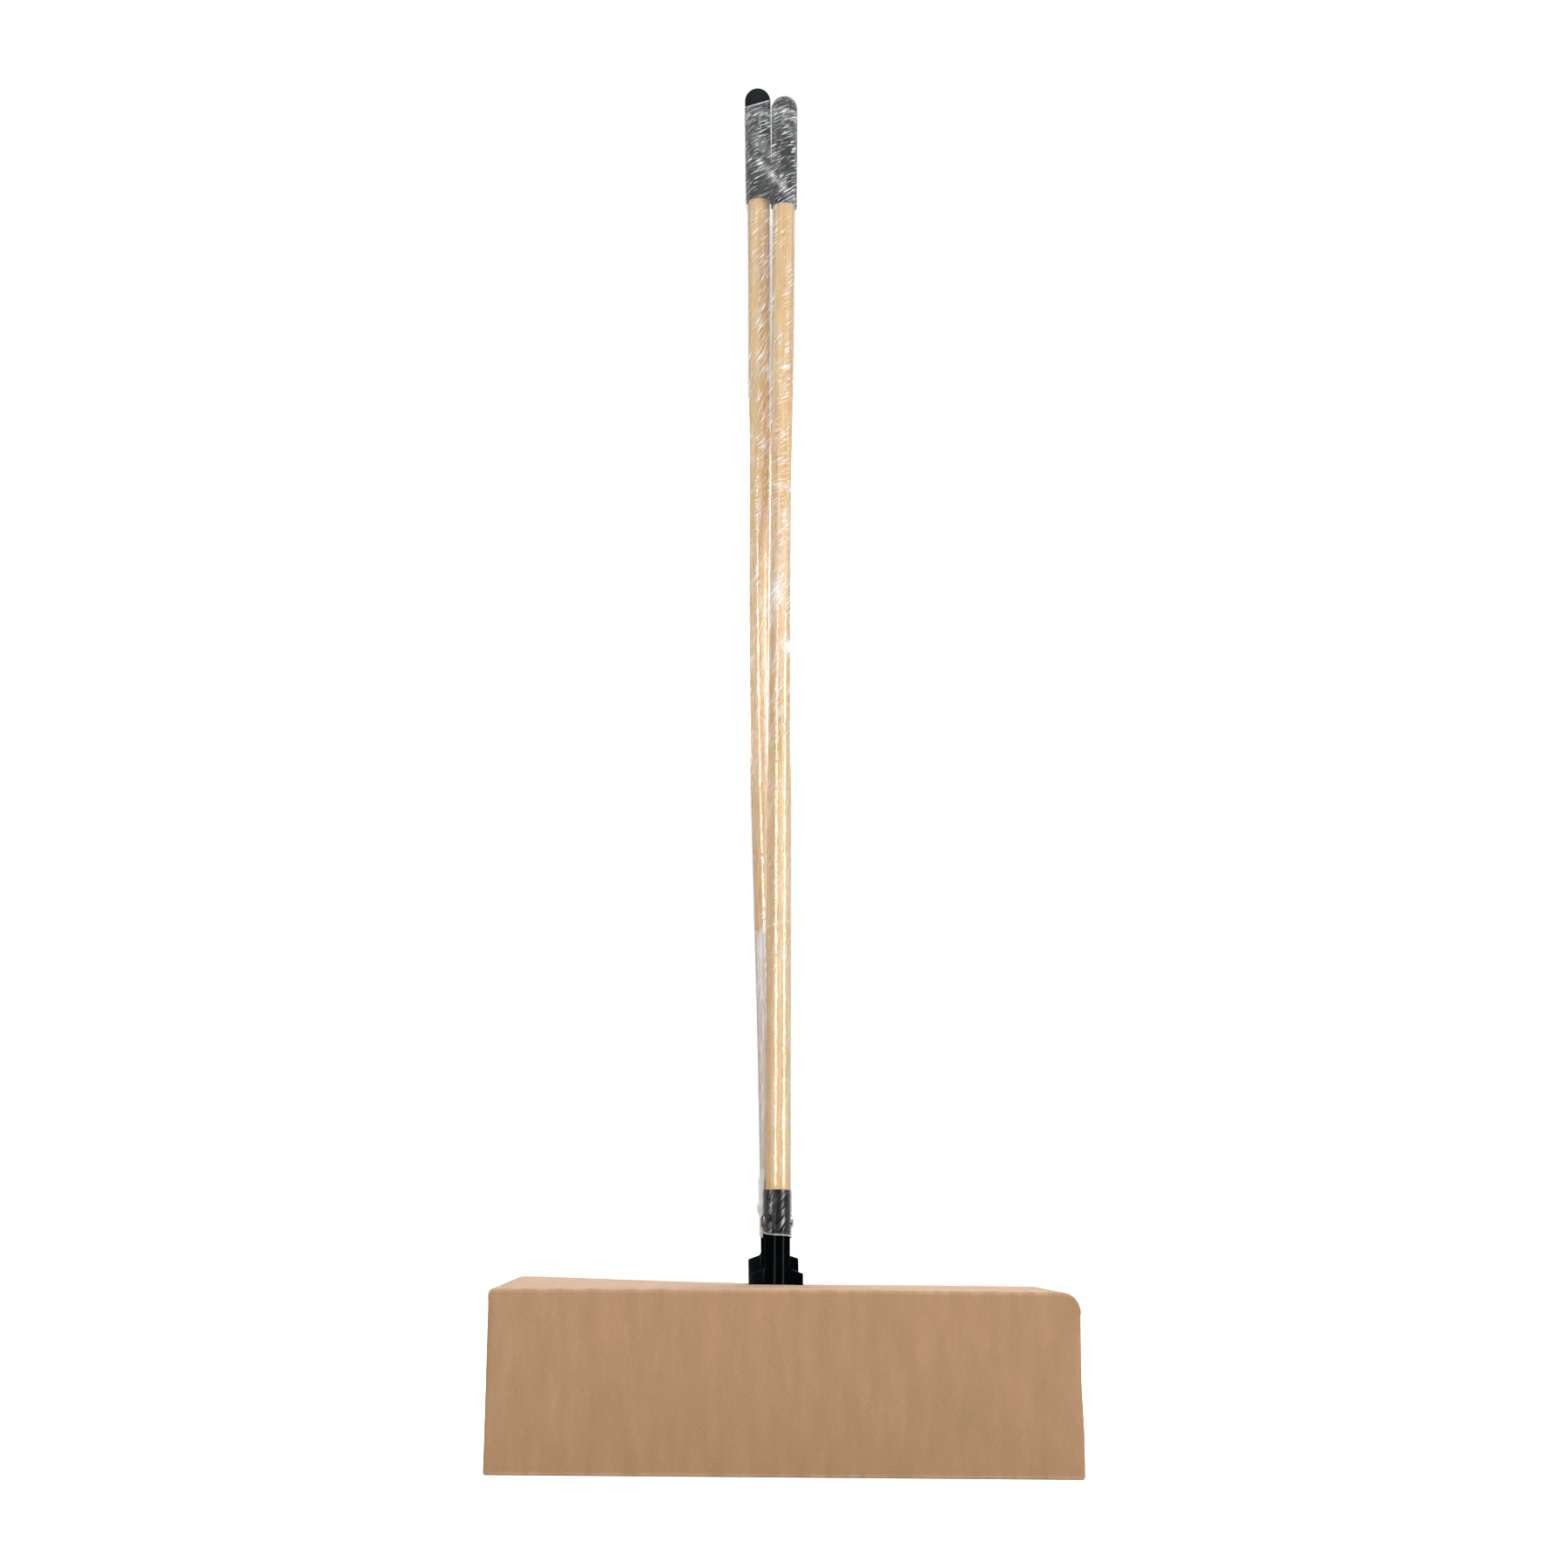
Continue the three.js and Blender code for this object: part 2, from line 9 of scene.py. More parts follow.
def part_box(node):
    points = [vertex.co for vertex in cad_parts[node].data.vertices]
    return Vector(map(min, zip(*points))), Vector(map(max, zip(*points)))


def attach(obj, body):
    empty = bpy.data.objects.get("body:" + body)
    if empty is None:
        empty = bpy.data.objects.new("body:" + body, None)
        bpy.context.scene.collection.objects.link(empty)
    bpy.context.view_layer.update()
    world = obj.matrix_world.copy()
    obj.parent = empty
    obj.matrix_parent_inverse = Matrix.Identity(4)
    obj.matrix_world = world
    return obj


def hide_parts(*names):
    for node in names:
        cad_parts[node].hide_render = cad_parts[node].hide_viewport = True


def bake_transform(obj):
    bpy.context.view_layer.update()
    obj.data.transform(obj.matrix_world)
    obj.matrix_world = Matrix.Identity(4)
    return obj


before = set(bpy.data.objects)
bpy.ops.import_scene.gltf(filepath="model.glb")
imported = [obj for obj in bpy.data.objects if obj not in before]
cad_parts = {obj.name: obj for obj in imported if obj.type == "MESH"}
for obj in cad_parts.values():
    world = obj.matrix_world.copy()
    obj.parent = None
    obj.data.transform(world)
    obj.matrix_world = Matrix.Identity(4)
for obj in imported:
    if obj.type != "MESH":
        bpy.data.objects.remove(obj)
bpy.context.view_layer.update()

MM = 0.001
QUARTER = math.pi / 2 # of a turn

# ---- Driving dimensions, as in the CAD model ----
WIDTH, DEPTH, HEIGHT, BOARD = 650 * MM, 270 * MM, 196 * MM, 4 * MM
HANDLE_RADIUS, NECK_RADIUS = 14.3 * MM, 12.2 * MM
HANDLE_BOTTOM, HANDLE_LENGTH = 41 * MM, 1524 * MM
HANDLE_TOP = HANDLE_BOTTOM + HANDLE_LENGTH
GRIP_RADIUS, GRIP_WALL, GRIP_LENGTH = 16.5 * MM, 1.9 * MM, 155 * MM
GRIP_TOP = HANDLE_TOP + GRIP_WALL + 0.3 * MM
GRIP_BOTTOM = GRIP_TOP - GRIP_LENGTH
SOCKET_RADIUS, SOCKET_BORE = 14.75 * MM, 12.55 * MM
SOCKET_TOP, SOCKET_FLOOR = 171 * MM, 40 * MM
WING_HALF, WING_TOP, WING_RISE, WING_THICK = 30 * MM, 77 * MM, 5 * MM, 5 * MM
FOOT_LENGTH, FOOT_WIDTH, FOOT_THICK = 112 * MM, 54 * MM, 6 * MM
BOLT_HEIGHT, BOLT_RADIUS = 136 * MM, 2.5 * MM
HEAD_ANGLE = math.radians(35)
BLOCK_LENGTH, BLOCK_WIDTH, BLOCK_THICK, BLOCK_CORNER = 610 * MM, 60 * MM, 30 * MM, 14 * MM
BRISTLE_ROWS, BRISTLE_PITCH, BRISTLE_LENGTH, BRISTLE_SPAN = 5, 11 * MM, 107 * MM, 590 * MM
BLADE_LENGTH, BLADE_INNER, BLADE_EDGE, BLADE_THICK = 606 * MM, 12 * MM, 50 * MM, 3 * MM
FOOT_SCREWS = [(x * 44 * MM, y * 17 * MM) for x in (-1, 1) for y in (-1, 1)]
BLADE_SCREW_X = [x * MM for x in (-270, -180, -90, 90, 180, 270)]
BLADE_SCREW_Y = 21 * MM
NOTCH_HALF = WING_HALF + 1.6 * MM # the cardboard is cut closer round the wings than the CAD's solid
GAP = 0.3 * MM
FILM_BOTTOM = 254.5 * MM
FRONT_BOW, REAR_BOW = -1.7 * MM, -6 * MM


# ---- Mesh helpers ----
def rotate(angle, axis):
    return Matrix.Rotation(angle, 4, axis)


def move(x, y, z):
    return Matrix.Translation((x, y, z))


def link(name, mesh, material):
    obj = bpy.data.objects.new(name, mesh)
    bpy.context.scene.collection.objects.link(obj)
    mesh.materials.clear()
    mesh.materials.append(material)
    return obj


def shade(mesh, angle=35):
    mesh.polygons.foreach_set("use_smooth", [True] * len(mesh.polygons))
    mesh.set_sharp_from_angle(angle=math.radians(angle))
    mesh.update()
    return mesh


def build_mesh(name, points, faces, angle=35):
    """A shaded mesh that is smooth across edges up to the angle in degrees."""
    mesh = bpy.data.meshes.new(name)
    mesh.from_pydata([tuple(p) for p in points], [], [tuple(int(i) for i in f) for f in faces])
    mesh.validate()
    return shade(mesh, angle)


def set_uv(mesh, uv, name="surface"):
    """uv holds one pair for each vertex."""
    layer = mesh.uv_layers.new(name=name)
    loops = np.zeros(len(mesh.loops), np.int32)
    mesh.loops.foreach_get("vertex_index", loops)
    layer.data.foreach_set("uv", np.asarray(uv, np.float32)[loops].ravel())


def add_float(mesh, name, values):
    attribute = mesh.attributes.new(name, "FLOAT", "POINT")
    attribute.data.foreach_set("value", values.ravel().astype(np.float32))


def lathe(profile, segments=48):
    """Points and faces of (radius, height) pairs turned about z. They start and end on the axis, or the last
    pair joins the first."""
    points, rings = [], []
    for radius, height in profile:
        if radius == 0:
            rings.append([len(points)] * segments)
            points.append((0, 0, height))
            continue
        rings.append(list(range(len(points), len(points) + segments)))
        for k in range(segments):
            angle = 2 * math.pi * k / segments
            points.append((radius * math.cos(angle), radius * math.sin(angle), height))
    closed = profile[0][0] != 0
    faces = []
    for i in range(len(rings) - (0 if closed else 1)):
        low, high = rings[i], rings[(i + 1) % len(rings)]
        for k in range(segments):
            n = (k + 1) % segments
            quad = [low[k], low[n], high[n], high[k]]
            face = list(dict.fromkeys(quad))
            if len(face) > 2:
                faces.append(face)
    return points, faces


def dome(radius, base, steps=12):
    """Profile of a dome from its rim up to the axis."""
    angles = [QUARTER * i / steps for i in range(steps)]
    rim = [(radius * math.cos(a), base + radius * math.sin(a)) for a in angles]
    return [*rim, (0, base + radius)]


def rounded(width, height, corner, steps=8):
    """Outline of a rectangle with round corners, centred."""
    x, y = width / 2 - corner, height / 2 - corner
    outline = []
    for cx, cy, turn in ((x, y, 0), (-x, y, 1), (-x, -y, 2), (x, -y, 3)):
        for k in range(steps + 1):
            angle = (turn + k / steps) * QUARTER
            outline.append((cx + corner * math.cos(angle), cy + corner * math.sin(angle)))
    return outline


def prism(outline, low, high, bevel=0, segments=3):
    """An outline in x and y drawn from low to high in z, with rounded edges, as a bmesh."""
    bm = bmesh.new()
    bottom = bm.faces.new([bm.verts.new((x, y, low)) for x, y in outline])
    bmesh.ops.recalc_face_normals(bm, faces=[bottom])
    extruded = bmesh.ops.extrude_face_region(bm, geom=[bottom])
    moved = [g for g in extruded["geom"] if isinstance(g, bmesh.types.BMVert)]
    bmesh.ops.translate(bm, verts=moved, vec=(0, 0, high - low))
    bmesh.ops.recalc_face_normals(bm, faces=bm.faces)
    if bevel:
        sharp = [e for e in bm.edges if e.calc_face_angle(0) > math.radians(40)]
        shape = {"offset": bevel, "segments": segments, "profile": 0.5}
        bmesh.ops.bevel(bm, geom=sharp, affect="EDGES", clamp_overlap=True, **shape)
    return bm


def bmesh_object(name, bm, material, matrix=None, angle=35):
    if matrix is not None:
        bm.transform(matrix)
    mesh = bpy.data.meshes.new(name)
    bm.to_mesh(mesh)
    bm.free()
    return link(name, shade(mesh, angle), material)


def lathe_bmesh(profile, segments=48):
    points, faces = lathe(profile, segments)
    bm = bmesh.new()
    verts = [bm.verts.new(p) for p in points]
    for face in faces:
        bm.faces.new([verts[i] for i in face])
    bmesh.ops.recalc_face_normals(bm, faces=bm.faces)
    return bm


def cylinder(radius, low, high, segments):
    return lathe_bmesh([(0, low), (radius, low), (radius, high), (0, high)], segments)


def combine(target, others, operation):
    """Joins the other solids to the target, or cuts them from it, and removes them."""
    for other in others:
        modifier = target.modifiers.new("combine", "BOOLEAN")
        modifier.operation = operation
        modifier.solver = "EXACT"
        modifier.object = other
    bpy.context.view_layer.update()
    evaluated = target.evaluated_get(bpy.context.evaluated_depsgraph_get())
    mesh = bpy.data.meshes.new_from_object(evaluated)
    target.modifiers.clear()
    target.data = mesh
    for other in others:
        bpy.data.objects.remove(other, do_unlink=True)
    shade(mesh)
    return target


def ripple_field(u, v, seed):
    """Smooth random numbers over a plane: a grid of seeded values, blended between its points."""
    size = 256
    table = np.random.default_rng(seed).random((size, size))
    iu, iv = np.floor(u).astype(int), np.floor(v).astype(int)
    fu, fv = u - iu, v - iv
    fu, fv = fu * fu * (3 - 2 * fu), fv * fv * (3 - 2 * fv)
    iu, iv = iu % size, iv % size
    ju, jv = (iu + 1) % size, (iv + 1) % size
    low = table[iu, iv] * (1 - fu) + table[ju, iv] * fu
    high = table[iu, jv] * (1 - fu) + table[ju, jv] * fu
    return (low * (1 - fv) + high * fv) * 2 - 1


def smoothstep(low, high, x):
    t = np.clip((x - low) / (high - low), 0, 1)
    return t * t * (3 - 2 * t)


def hump(distance, width):
    """1 at no distance, falling smoothly to nothing at about twice the width."""
    return np.exp(-((distance / width) ** 2))


# ---- Materials ----
def srgb(red, green, blue):
    """A colour given in 0 to 255 as seen, in the linear values that a shader takes."""
    def linear(value):
        value /= 255
        return value / 12.92 if value <= 0.04045 else ((value + 0.055) / 1.055) ** 2.4
    return (linear(red), linear(green), linear(blue), 1)


class Material:
    """A Principled material, with short calls for its nodes."""

    def __init__(self, name, **settings):
        self.material = bpy.data.materials.new(name)
        self.material.use_nodes = True
        self.nodes = self.material.node_tree.nodes
        self.links = self.material.node_tree.links
        self.shader = self.nodes["Principled BSDF"]
        for key, value in settings.items():
            self.shader.inputs[key.replace("_", " ")].default_value = value

    def node(self, kind, inputs=None, **settings):
        node = self.nodes.new(kind)
        for key, value in settings.items():
            setattr(node, key, value)
        for key, value in (inputs or {}).items():
            self.put(node.inputs[key], value)
        return node

    def put(self, socket, value):
        if isinstance(value, bpy.types.NodeSocket):
            self.links.new(value, socket)
        else:
            socket.default_value = value

    def place(self, source, scale, turn=0):
        coordinates = self.node("ShaderNodeTexCoord").outputs[source]
        inputs = {"Vector": coordinates, "Scale": scale, "Rotation": (0, 0, turn)}
        return self.node("ShaderNodeMapping", inputs).outputs["Vector"]

    def noise(self, vector, detail=2, roughness=0.5, distortion=0):
        inputs = {"Scale": 1, "Detail": detail, "Roughness": roughness, "Distortion": distortion}
        return self.node("ShaderNodeTexNoise", {"Vector": vector, **inputs}).outputs["Fac"]

    def attribute(self, name):
        return self.node("ShaderNodeAttribute", attribute_name=name).outputs["Fac"]

    def ramp(self, value, *stops):
        """stops are (position, colour or brightness) pairs."""
        node = self.node("ShaderNodeValToRGB", {"Fac": value})
        elements = node.color_ramp.elements
        for i, (position, colour) in enumerate(stops):
            if i > 1:
                elements.new(position)
            colour = colour if isinstance(colour, tuple) else (colour, colour, colour, 1)
            elements[i].position, elements[i].color = position, colour
        return node.outputs["Color"]

    def mix(self, factor, first, second):
        node = self.node("ShaderNodeMix", data_type="RGBA")
        self.put(node.inputs[0], factor)
        self.put(node.inputs[6], first)
        self.put(node.inputs[7], second)
        return node.outputs[2]

    def math(self, operation, first, second, clamp=False):
        node = self.node("ShaderNodeMath", operation=operation, use_clamp=clamp)
        self.put(node.inputs[0], first)
        self.put(node.inputs[1], second)
        return node.outputs[0]

    def times(self, first, second):
        return self.math("MULTIPLY", first, second)

    def bump(self, height, strength, distance=0.001):
        inputs = {"Height": height, "Strength": strength, "Distance": distance}
        node = self.node("ShaderNodeBump", inputs)
        self.put(self.shader.inputs["Normal"], node.outputs["Normal"])

    def set(self, name, value):
        self.put(self.shader.inputs[name], value)


def kraft_board():
    m = Material("kraft_board", Specular_IOR_Level=0.3, Sheen_Weight=0.12, Sheen_Roughness=0.4)
    fibres = m.noise(m.place("UV", (260, 900, 1), 0.3), 3, 0.7)
    strands = m.noise(m.place("UV", (1500, 240, 1), -0.2), 2, 0.6)
    clouds = m.noise(m.place("UV", (55, 12, 1)), 4, 0.62)
    specks = m.noise(m.place("UV", (900, 900, 1)), 1, 0.5)
    tone = m.ramp(clouds, (0.3, srgb(138, 109, 78)), (0.7, srgb(155, 119, 90)))
    tone = m.mix(m.ramp(fibres, (0.35, 0.0), (0.7, 0.4)), tone, srgb(170, 138, 105))
    tone = m.mix(m.ramp(strands, (0.4, 0.0), (0.75, 0.4)), tone, srgb(132, 101, 72))
    tone = m.mix(m.ramp(specks, (0.66, 0.0), (0.74, 0.5)), tone, srgb(119, 86, 60))
    # painted highlight: the board is drawn lighter along its folds, where a crease catches the light
    crease_light = m.attribute("crease_light")
    lit_crease = m.times(crease_light, m.ramp(clouds, (0.3, 0.05), (0.6, 0.35)))
    tone = m.mix(lit_crease, tone, srgb(193, 164, 135))
    m.set("Base Color", tone)
    m.set("Roughness", m.ramp(fibres, (0.3, 0.78), (0.8, 0.92)))
    inputs = {"Vector": m.place("UV", (1, 1, 1)), "Scale": 20.0}
    flutes = m.node("ShaderNodeTexWave", inputs, bands_direction="X").outputs["Fac"]
    m.bump(m.mix(0.25, m.mix(0.5, fibres, strands), flutes), 0.35, 0.0004)
    return m.material


def wood():
    """Pale ash under clear lacquer, with the tight film's gloss over it."""
    m = Material("lacquered_wood", Roughness=0.5, Coat_Weight=1.0, Coat_Roughness=0.1, Coat_IOR=1.75)
    rings = m.noise(m.place("Object", (70, 70, 1.6)), 3, 0.55, 0.6)
    grain = m.noise(m.place("Object", (420, 420, 5)), 3, 0.6)
    pores = m.noise(m.place("Object", (1100, 1100, 24)), 2, 0.5)
    tone = m.ramp(rings, (0.3, srgb(188, 145, 86)), (0.5, srgb(207, 171, 113)), (0.7, srgb(222, 195, 147)))
    tone = m.mix(m.ramp(grain, (0.42, 0.0), (0.68, 0.7)), tone, srgb(174, 133, 77))
    tone = m.mix(m.ramp(pores, (0.58, 0.0), (0.68, 0.6)), tone, srgb(136, 96, 50))
    m.set("Base Color", tone)
    m.set("Roughness", m.ramp(grain, (0.3, 0.38), (0.8, 0.55)))
    m.bump(m.mix(0.5, grain, pores), 0.12, 0.0003)
    ripples = m.noise(m.place("Object", (260, 260, 110)), 2, 0.6, 0.8)
    gloss = m.node("ShaderNodeBump", {"Height": ripples, "Strength": 0.5, "Distance": 0.0008})
    m.set("Coat Normal", gloss.outputs["Normal"])
    return m.material


def moulded(name, colour, roughness, grain=900, relief=0.1, gloss=0.5):
    """Moulded plastic or vinyl: an even colour with a fine grain and slight cloudiness."""
    m = Material(name, Specular_IOR_Level=gloss)
    fine = m.noise(m.place("Object", (grain, grain, grain)), 2, 0.6)
    clouds = m.noise(m.place("Object", (40, 40, 25)), 3, 0.5)
    bright = tuple(min(1, c * 1.35 + 0.001) for c in colour[:3]) + (1,)
    m.set("Base Color", m.mix(m.ramp(clouds, (0.35, 0.0), (0.7, 0.6)), colour, bright))
    m.set("Roughness", m.ramp(clouds, (0.3, roughness), (0.75, min(1, roughness + 0.12))))
    m.bump(fine, relief, 0.0003)
    return m.material


def bristle_plastic():
    m = Material("bristle_filament", Roughness=0.42)
    shades = m.noise(m.place("Object", (160, 160, 12)), 2, 0.5)
    tone = m.ramp(shades, (0.3, srgb(24, 58, 110)), (0.7, srgb(52, 104, 172)))
    m.set("Base Color", tone)
    m.bump(m.noise(m.place("Object", (2500, 2500, 300)), 1), 0.1, 0.0002)
    return m.material


def steel(name, colour, roughness, streaks):
    m = Material(name, Metallic=1.0)
    brushing = m.noise(m.place("Object", streaks), 3, 0.65)
    blotches = m.noise(m.place("Object", (30, 30, 30)), 3, 0.5)
    dull = tuple(c * 0.72 for c in colour[:3]) + (1,)
    m.set("Base Color", m.mix(m.ramp(blotches, (0.4, 0.0), (0.75, 0.6)), colour, dull))
    m.set("Roughness", m.ramp(brushing, (0.3, roughness - 0.08), (0.7, roughness + 0.12)))
    m.bump(brushing, 0.08, 0.0002)
    return m.material


def film_material():
    """Clear stretch film in several layers. Where it is gathered, its creases carry short bright dashes:
    painted highlights, drawn white through the alpha.
    """
    m = Material("stretch_film", Roughness=0.2, IOR=1.5, Specular_IOR_Level=0.6)

    def creases_and_glints(along, across, low, high, shift):
        """Thin dashes that follow the pull of the film, from the second layer of coordinates: the bump of
        the creases, and where painted highlights are drawn on them.
        """
        sheet = m.node("ShaderNodeUVMap", uv_map="pull").outputs["UV"]
        inputs = {"Vector": sheet, "Scale": (along, across, 1), "Location": (shift, 0, 0)}
        vector = m.node("ShaderNodeMapping", inputs).outputs["Vector"]
        return m.ramp(m.noise(vector, 1, 0.5, 0.15), (low, 0.0), (high, 1.0))

    fine = creases_and_glints(90, 800, 0.57, 0.63, 3)
    bold = creases_and_glints(62, 600, 0.605, 0.65, 11)
    where = m.ramp(m.noise(m.place("UV", (70, 24, 1)), 2, 0.6), (0.36, 0.25), (0.6, 1.0))
    shown = [m.times(fine, m.attribute("fine_crease_glints")), m.times(bold, m.attribute("bold_crease_glints"))]
    # painted highlights: the crease dashes are drawn as opaque white film
    glint_dashes = m.times(m.math("MAXIMUM", *shown), where)
    clouds = m.ramp(m.noise(m.place("UV", (60, 34, 1), 0.5), 3, 0.6, 0.5), (0.3, 0.3), (0.7, 1.0))
    # the film's haze, with the painted highlights at its edges and in some patches
    veil_and_glints = m.times(m.times(m.attribute("haze_and_glints"), 1.6), clouds)
    rim = m.math("POWER", m.node("ShaderNodeLayerWeight", {"Blend": 0.3}).outputs["Facing"], 2.2)
    # the painted shade over the gap between the handles joins the grey of the film's grazing rim
    rim = m.math("MAXIMUM", m.times(rim, m.attribute("cling")), m.attribute("fold_shade"))
    m.set("Base Color", m.mix(rim, srgb(252, 253, 254), srgb(180, 183, 189)))
    m.set("Alpha", m.math("ADD", m.math("ADD", veil_and_glints, glint_dashes), m.times(rim, 0.75), clamp=True))
    m.bump(m.mix(0.5, fine, bold), 0.5, 0.0006)
    return m.material


MATERIALS = {
    "board": kraft_board(),
    "wood": wood(),
    "grip": moulded("grip_vinyl", srgb(25, 30, 32), 0.7, 1200, 0.18, 0.05),
    "socket": moulded("socket_plastic", srgb(1, 4, 5), 0.14, 700, 0.01, 0.03),
    "block": moulded("head_plastic", srgb(26, 28, 30), 0.5, 800, 0.15),
    "bristle": bristle_plastic(),
    "blade": steel("blade_steel", srgb(196, 198, 200), 0.34, (8, 900, 900)),
    "fastener": steel("fastener_steel", srgb(186, 187, 186), 0.32, (500, 500, 500)),
    "film": film_material(),
}


# ---- Where each tool stands, read from its own CAD pieces ----
def centre(node):
    low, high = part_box(node)
    return (low + high) / 2


class Tool:
    """A tool's own frame: the handle's axis is z, and the head block's top meets it at z = 0."""

    def __init__(self, name, bow):
        self.name, self.bow = name, bow
        bolt = centre(f"{name}_cross_bolt")
        top = centre(f"{name}_grip")
        self.axis = (top - bolt).normalized()
        self.base = bolt - self.axis * BOLT_HEIGHT
        lean_y = math.asin(self.axis.x)
        lean_x = math.atan2(-self.axis.y, self.axis.z)
        turn = rotate(lean_x, "X") @ rotate(lean_y, "Y")
        self.matrix = Matrix.Translation(self.base) @ turn
        self.head = self.matrix @ rotate(-HEAD_ANGLE, "X")

    def bow_at(self, along):
        """How far the bent handle stands off its axis, sideways."""
        share = np.clip((along - SOCKET_TOP) / (GRIP_BOTTOM - SOCKET_TOP), 0, 1)
        return self.bow * np.sin(math.pi * share) ** 2

    def along(self, z):
        return (z - self.base.z) / self.axis.z

    def centre_at(self, z):
        along = self.along(z)
        x = self.base.x + self.axis.x * along + self.bow_at(along)
        return np.array([x, self.base.y + self.axis.y * along])


TOOLS = [Tool("front", FRONT_BOW), Tool("rear", REAR_BOW)]


def settle(obj, nodes, matrix=None, body="tool_bundle"):
    """Puts a finished piece in place: it rides a body and stands for its CAD nodes, which it hides."""
    if matrix is not None:
        obj.matrix_world = matrix
    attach(obj, body)
    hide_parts(*nodes)
    return obj


# ---- Handles and grips ----
def make_handle(tool):
    shoulder = SOCKET_TOP + 0.3 * MM
    rows = 150
    start, end = shoulder + 1.2 * MM, HANDLE_TOP - HANDLE_RADIUS
    shaft = [(HANDLE_RADIUS, start + (end - start) * i / rows) for i in range(rows + 1)]
    profile = [
        (0, HANDLE_BOTTOM),
        (NECK_RADIUS - 1.5 * MM, HANDLE_BOTTOM),
        (NECK_RADIUS, HANDLE_BOTTOM + 1.5 * MM),
        (NECK_RADIUS, shoulder - 0.1 * MM),
        (NECK_RADIUS + 0.4 * MM, shoulder),
        (HANDLE_RADIUS - 0.8 * MM, shoulder),
        (HANDLE_RADIUS - 0.2 * MM, shoulder + 0.4 * MM),
        *shaft,
        *dome(HANDLE_RADIUS, end)[1:],
    ]
    points, faces = lathe(profile, 56)
    points = np.array(points)
    points[:, 0] += tool.bow_at(points[:, 2])
    obj = link(f"{tool.name}_wood_handle", build_mesh("handle", points, faces), MATERIALS["wood"])
    return settle(obj, [f"{tool.name}_handle"], tool.matrix)


def make_grip(tool):
    inner = GRIP_RADIUS - GRIP_WALL
    centre_height = GRIP_TOP - GRIP_RADIUS
    lip = 0.7 * MM
    rim = [
        (inner + 0.05 * MM, GRIP_BOTTOM + lip),
        (inner + 0.3 * MM, GRIP_BOTTOM),
        (GRIP_RADIUS - lip, GRIP_BOTTOM),
        (GRIP_RADIUS - 0.1 * MM, GRIP_BOTTOM + 0.5 * lip),
        (GRIP_RADIUS, GRIP_BOTTOM + lip),
    ]
    low, rows = GRIP_BOTTOM + lip, 24
    wall = [(GRIP_RADIUS, low + (centre_height - GRIP_BOTTOM - lip) * i / rows) for i in range(1, rows)]
    inside = reversed(dome(inner, GRIP_TOP - GRIP_WALL - inner))
    points, faces = lathe([*inside, *rim, *wall, *dome(GRIP_RADIUS, centre_height, 20)], 64)
    obj = link(f"{tool.name}_vinyl_grip", build_mesh("grip", points, faces), MATERIALS["grip"])
    return settle(obj, [f"{tool.name}_grip"], tool.matrix)


# ---- Socket bracket ----
def upright(outline, thick, bevel):
    """An (x, z) outline as a plate centred on y = 0."""
    bm = prism(outline, -thick / 2, thick / 2, bevel, 2)
    bm.transform(rotate(QUARTER, "X"))
    return bm


def wing_outline():
    root = SOCKET_RADIUS - 2 * MM
    rise, fillet = WING_TOP + WING_RISE, 3 * MM
    half = [(WING_HALF, -6 * MM), (WING_HALF, WING_TOP - 0.6 * MM), (WING_HALF - 0.6 * MM, WING_TOP)]
    for i in range(7):
        share = i / 6
        half.append((SOCKET_RADIUS + fillet * (1 - share), rise - 1 * MM + 4 * MM * share**2))
    half.append((root, rise + 3 * MM))
    return half + [(-x, z) for x, z in reversed(half)]


def make_bracket(tool):
    black = MATERIALS["socket"]
    wall = [
        (0, -16 * MM),
        (SOCKET_RADIUS + 0.5 * MM, -16 * MM),
        (SOCKET_RADIUS, 30 * MM),
        (SOCKET_RADIUS, SOCKET_TOP - 1.1 * MM),
        (SOCKET_RADIUS - 0.35 * MM, SOCKET_TOP - 0.3 * MM),
        (SOCKET_RADIUS - 1.1 * MM, SOCKET_TOP),
        (0, SOCKET_TOP),
    ]
    bracket = bmesh_object(f"{tool.name}_socket", lathe_bmesh(wall, 64), black)
    head_turn = rotate(-HEAD_ANGLE, "X")
    side_turn = rotate(QUARTER, "Z") @ rotate(QUARTER, "X")
    wings = bmesh_object("wings", upright(wing_outline(), WING_THICK, 0.7 * MM), black)
    rib_outline = [(x * MM, z * MM) for x, z in ((8, -16), (22, -16), (22, -4), (14, 52), (8, 52))]
    rib = bmesh_object("rib", prism(rib_outline, -2.5 * MM, 2.5 * MM, 0.6 * MM, 2), black, side_turn)
    plate = prism(rounded(FOOT_LENGTH, FOOT_WIDTH, 10 * MM), GAP, GAP + FOOT_THICK, 1.2 * MM)
    foot = bmesh_object("foot", plate, black, head_turn)
    bosses = []
    for x, y in FOOT_SCREWS:
        boss = prism(rounded(15 * MM, 15 * MM, 7.49 * MM, 8), GAP + 1 * MM, FOOT_THICK + GAP + 0.001 * MM)
        bosses.append(bmesh_object("boss", boss, black, head_turn @ move(x, y, 0)))
    combine(bracket, [wings, rib, foot, *bosses], "UNION")
    under = prism(rounded(170 * MM, 130 * MM, 5 * MM), -60 * MM, GAP)
    below = bmesh_object("below", under, black, head_turn)
    bore = bmesh_object("bore", cylinder(SOCKET_BORE, SOCKET_FLOOR, SOCKET_TOP + 9 * MM, 64), black)
    across = move(0, 0, BOLT_HEIGHT) @ rotate(QUARTER, "Y")
    cross = bmesh_object("cross", cylinder(BOLT_RADIUS + GAP, -25 * MM, 25 * MM, 24), black, across)
    combine(bracket, [below, bore, cross], "DIFFERENCE")
    return settle(bracket, [f"{tool.name}_socket_bracket"], tool.matrix)


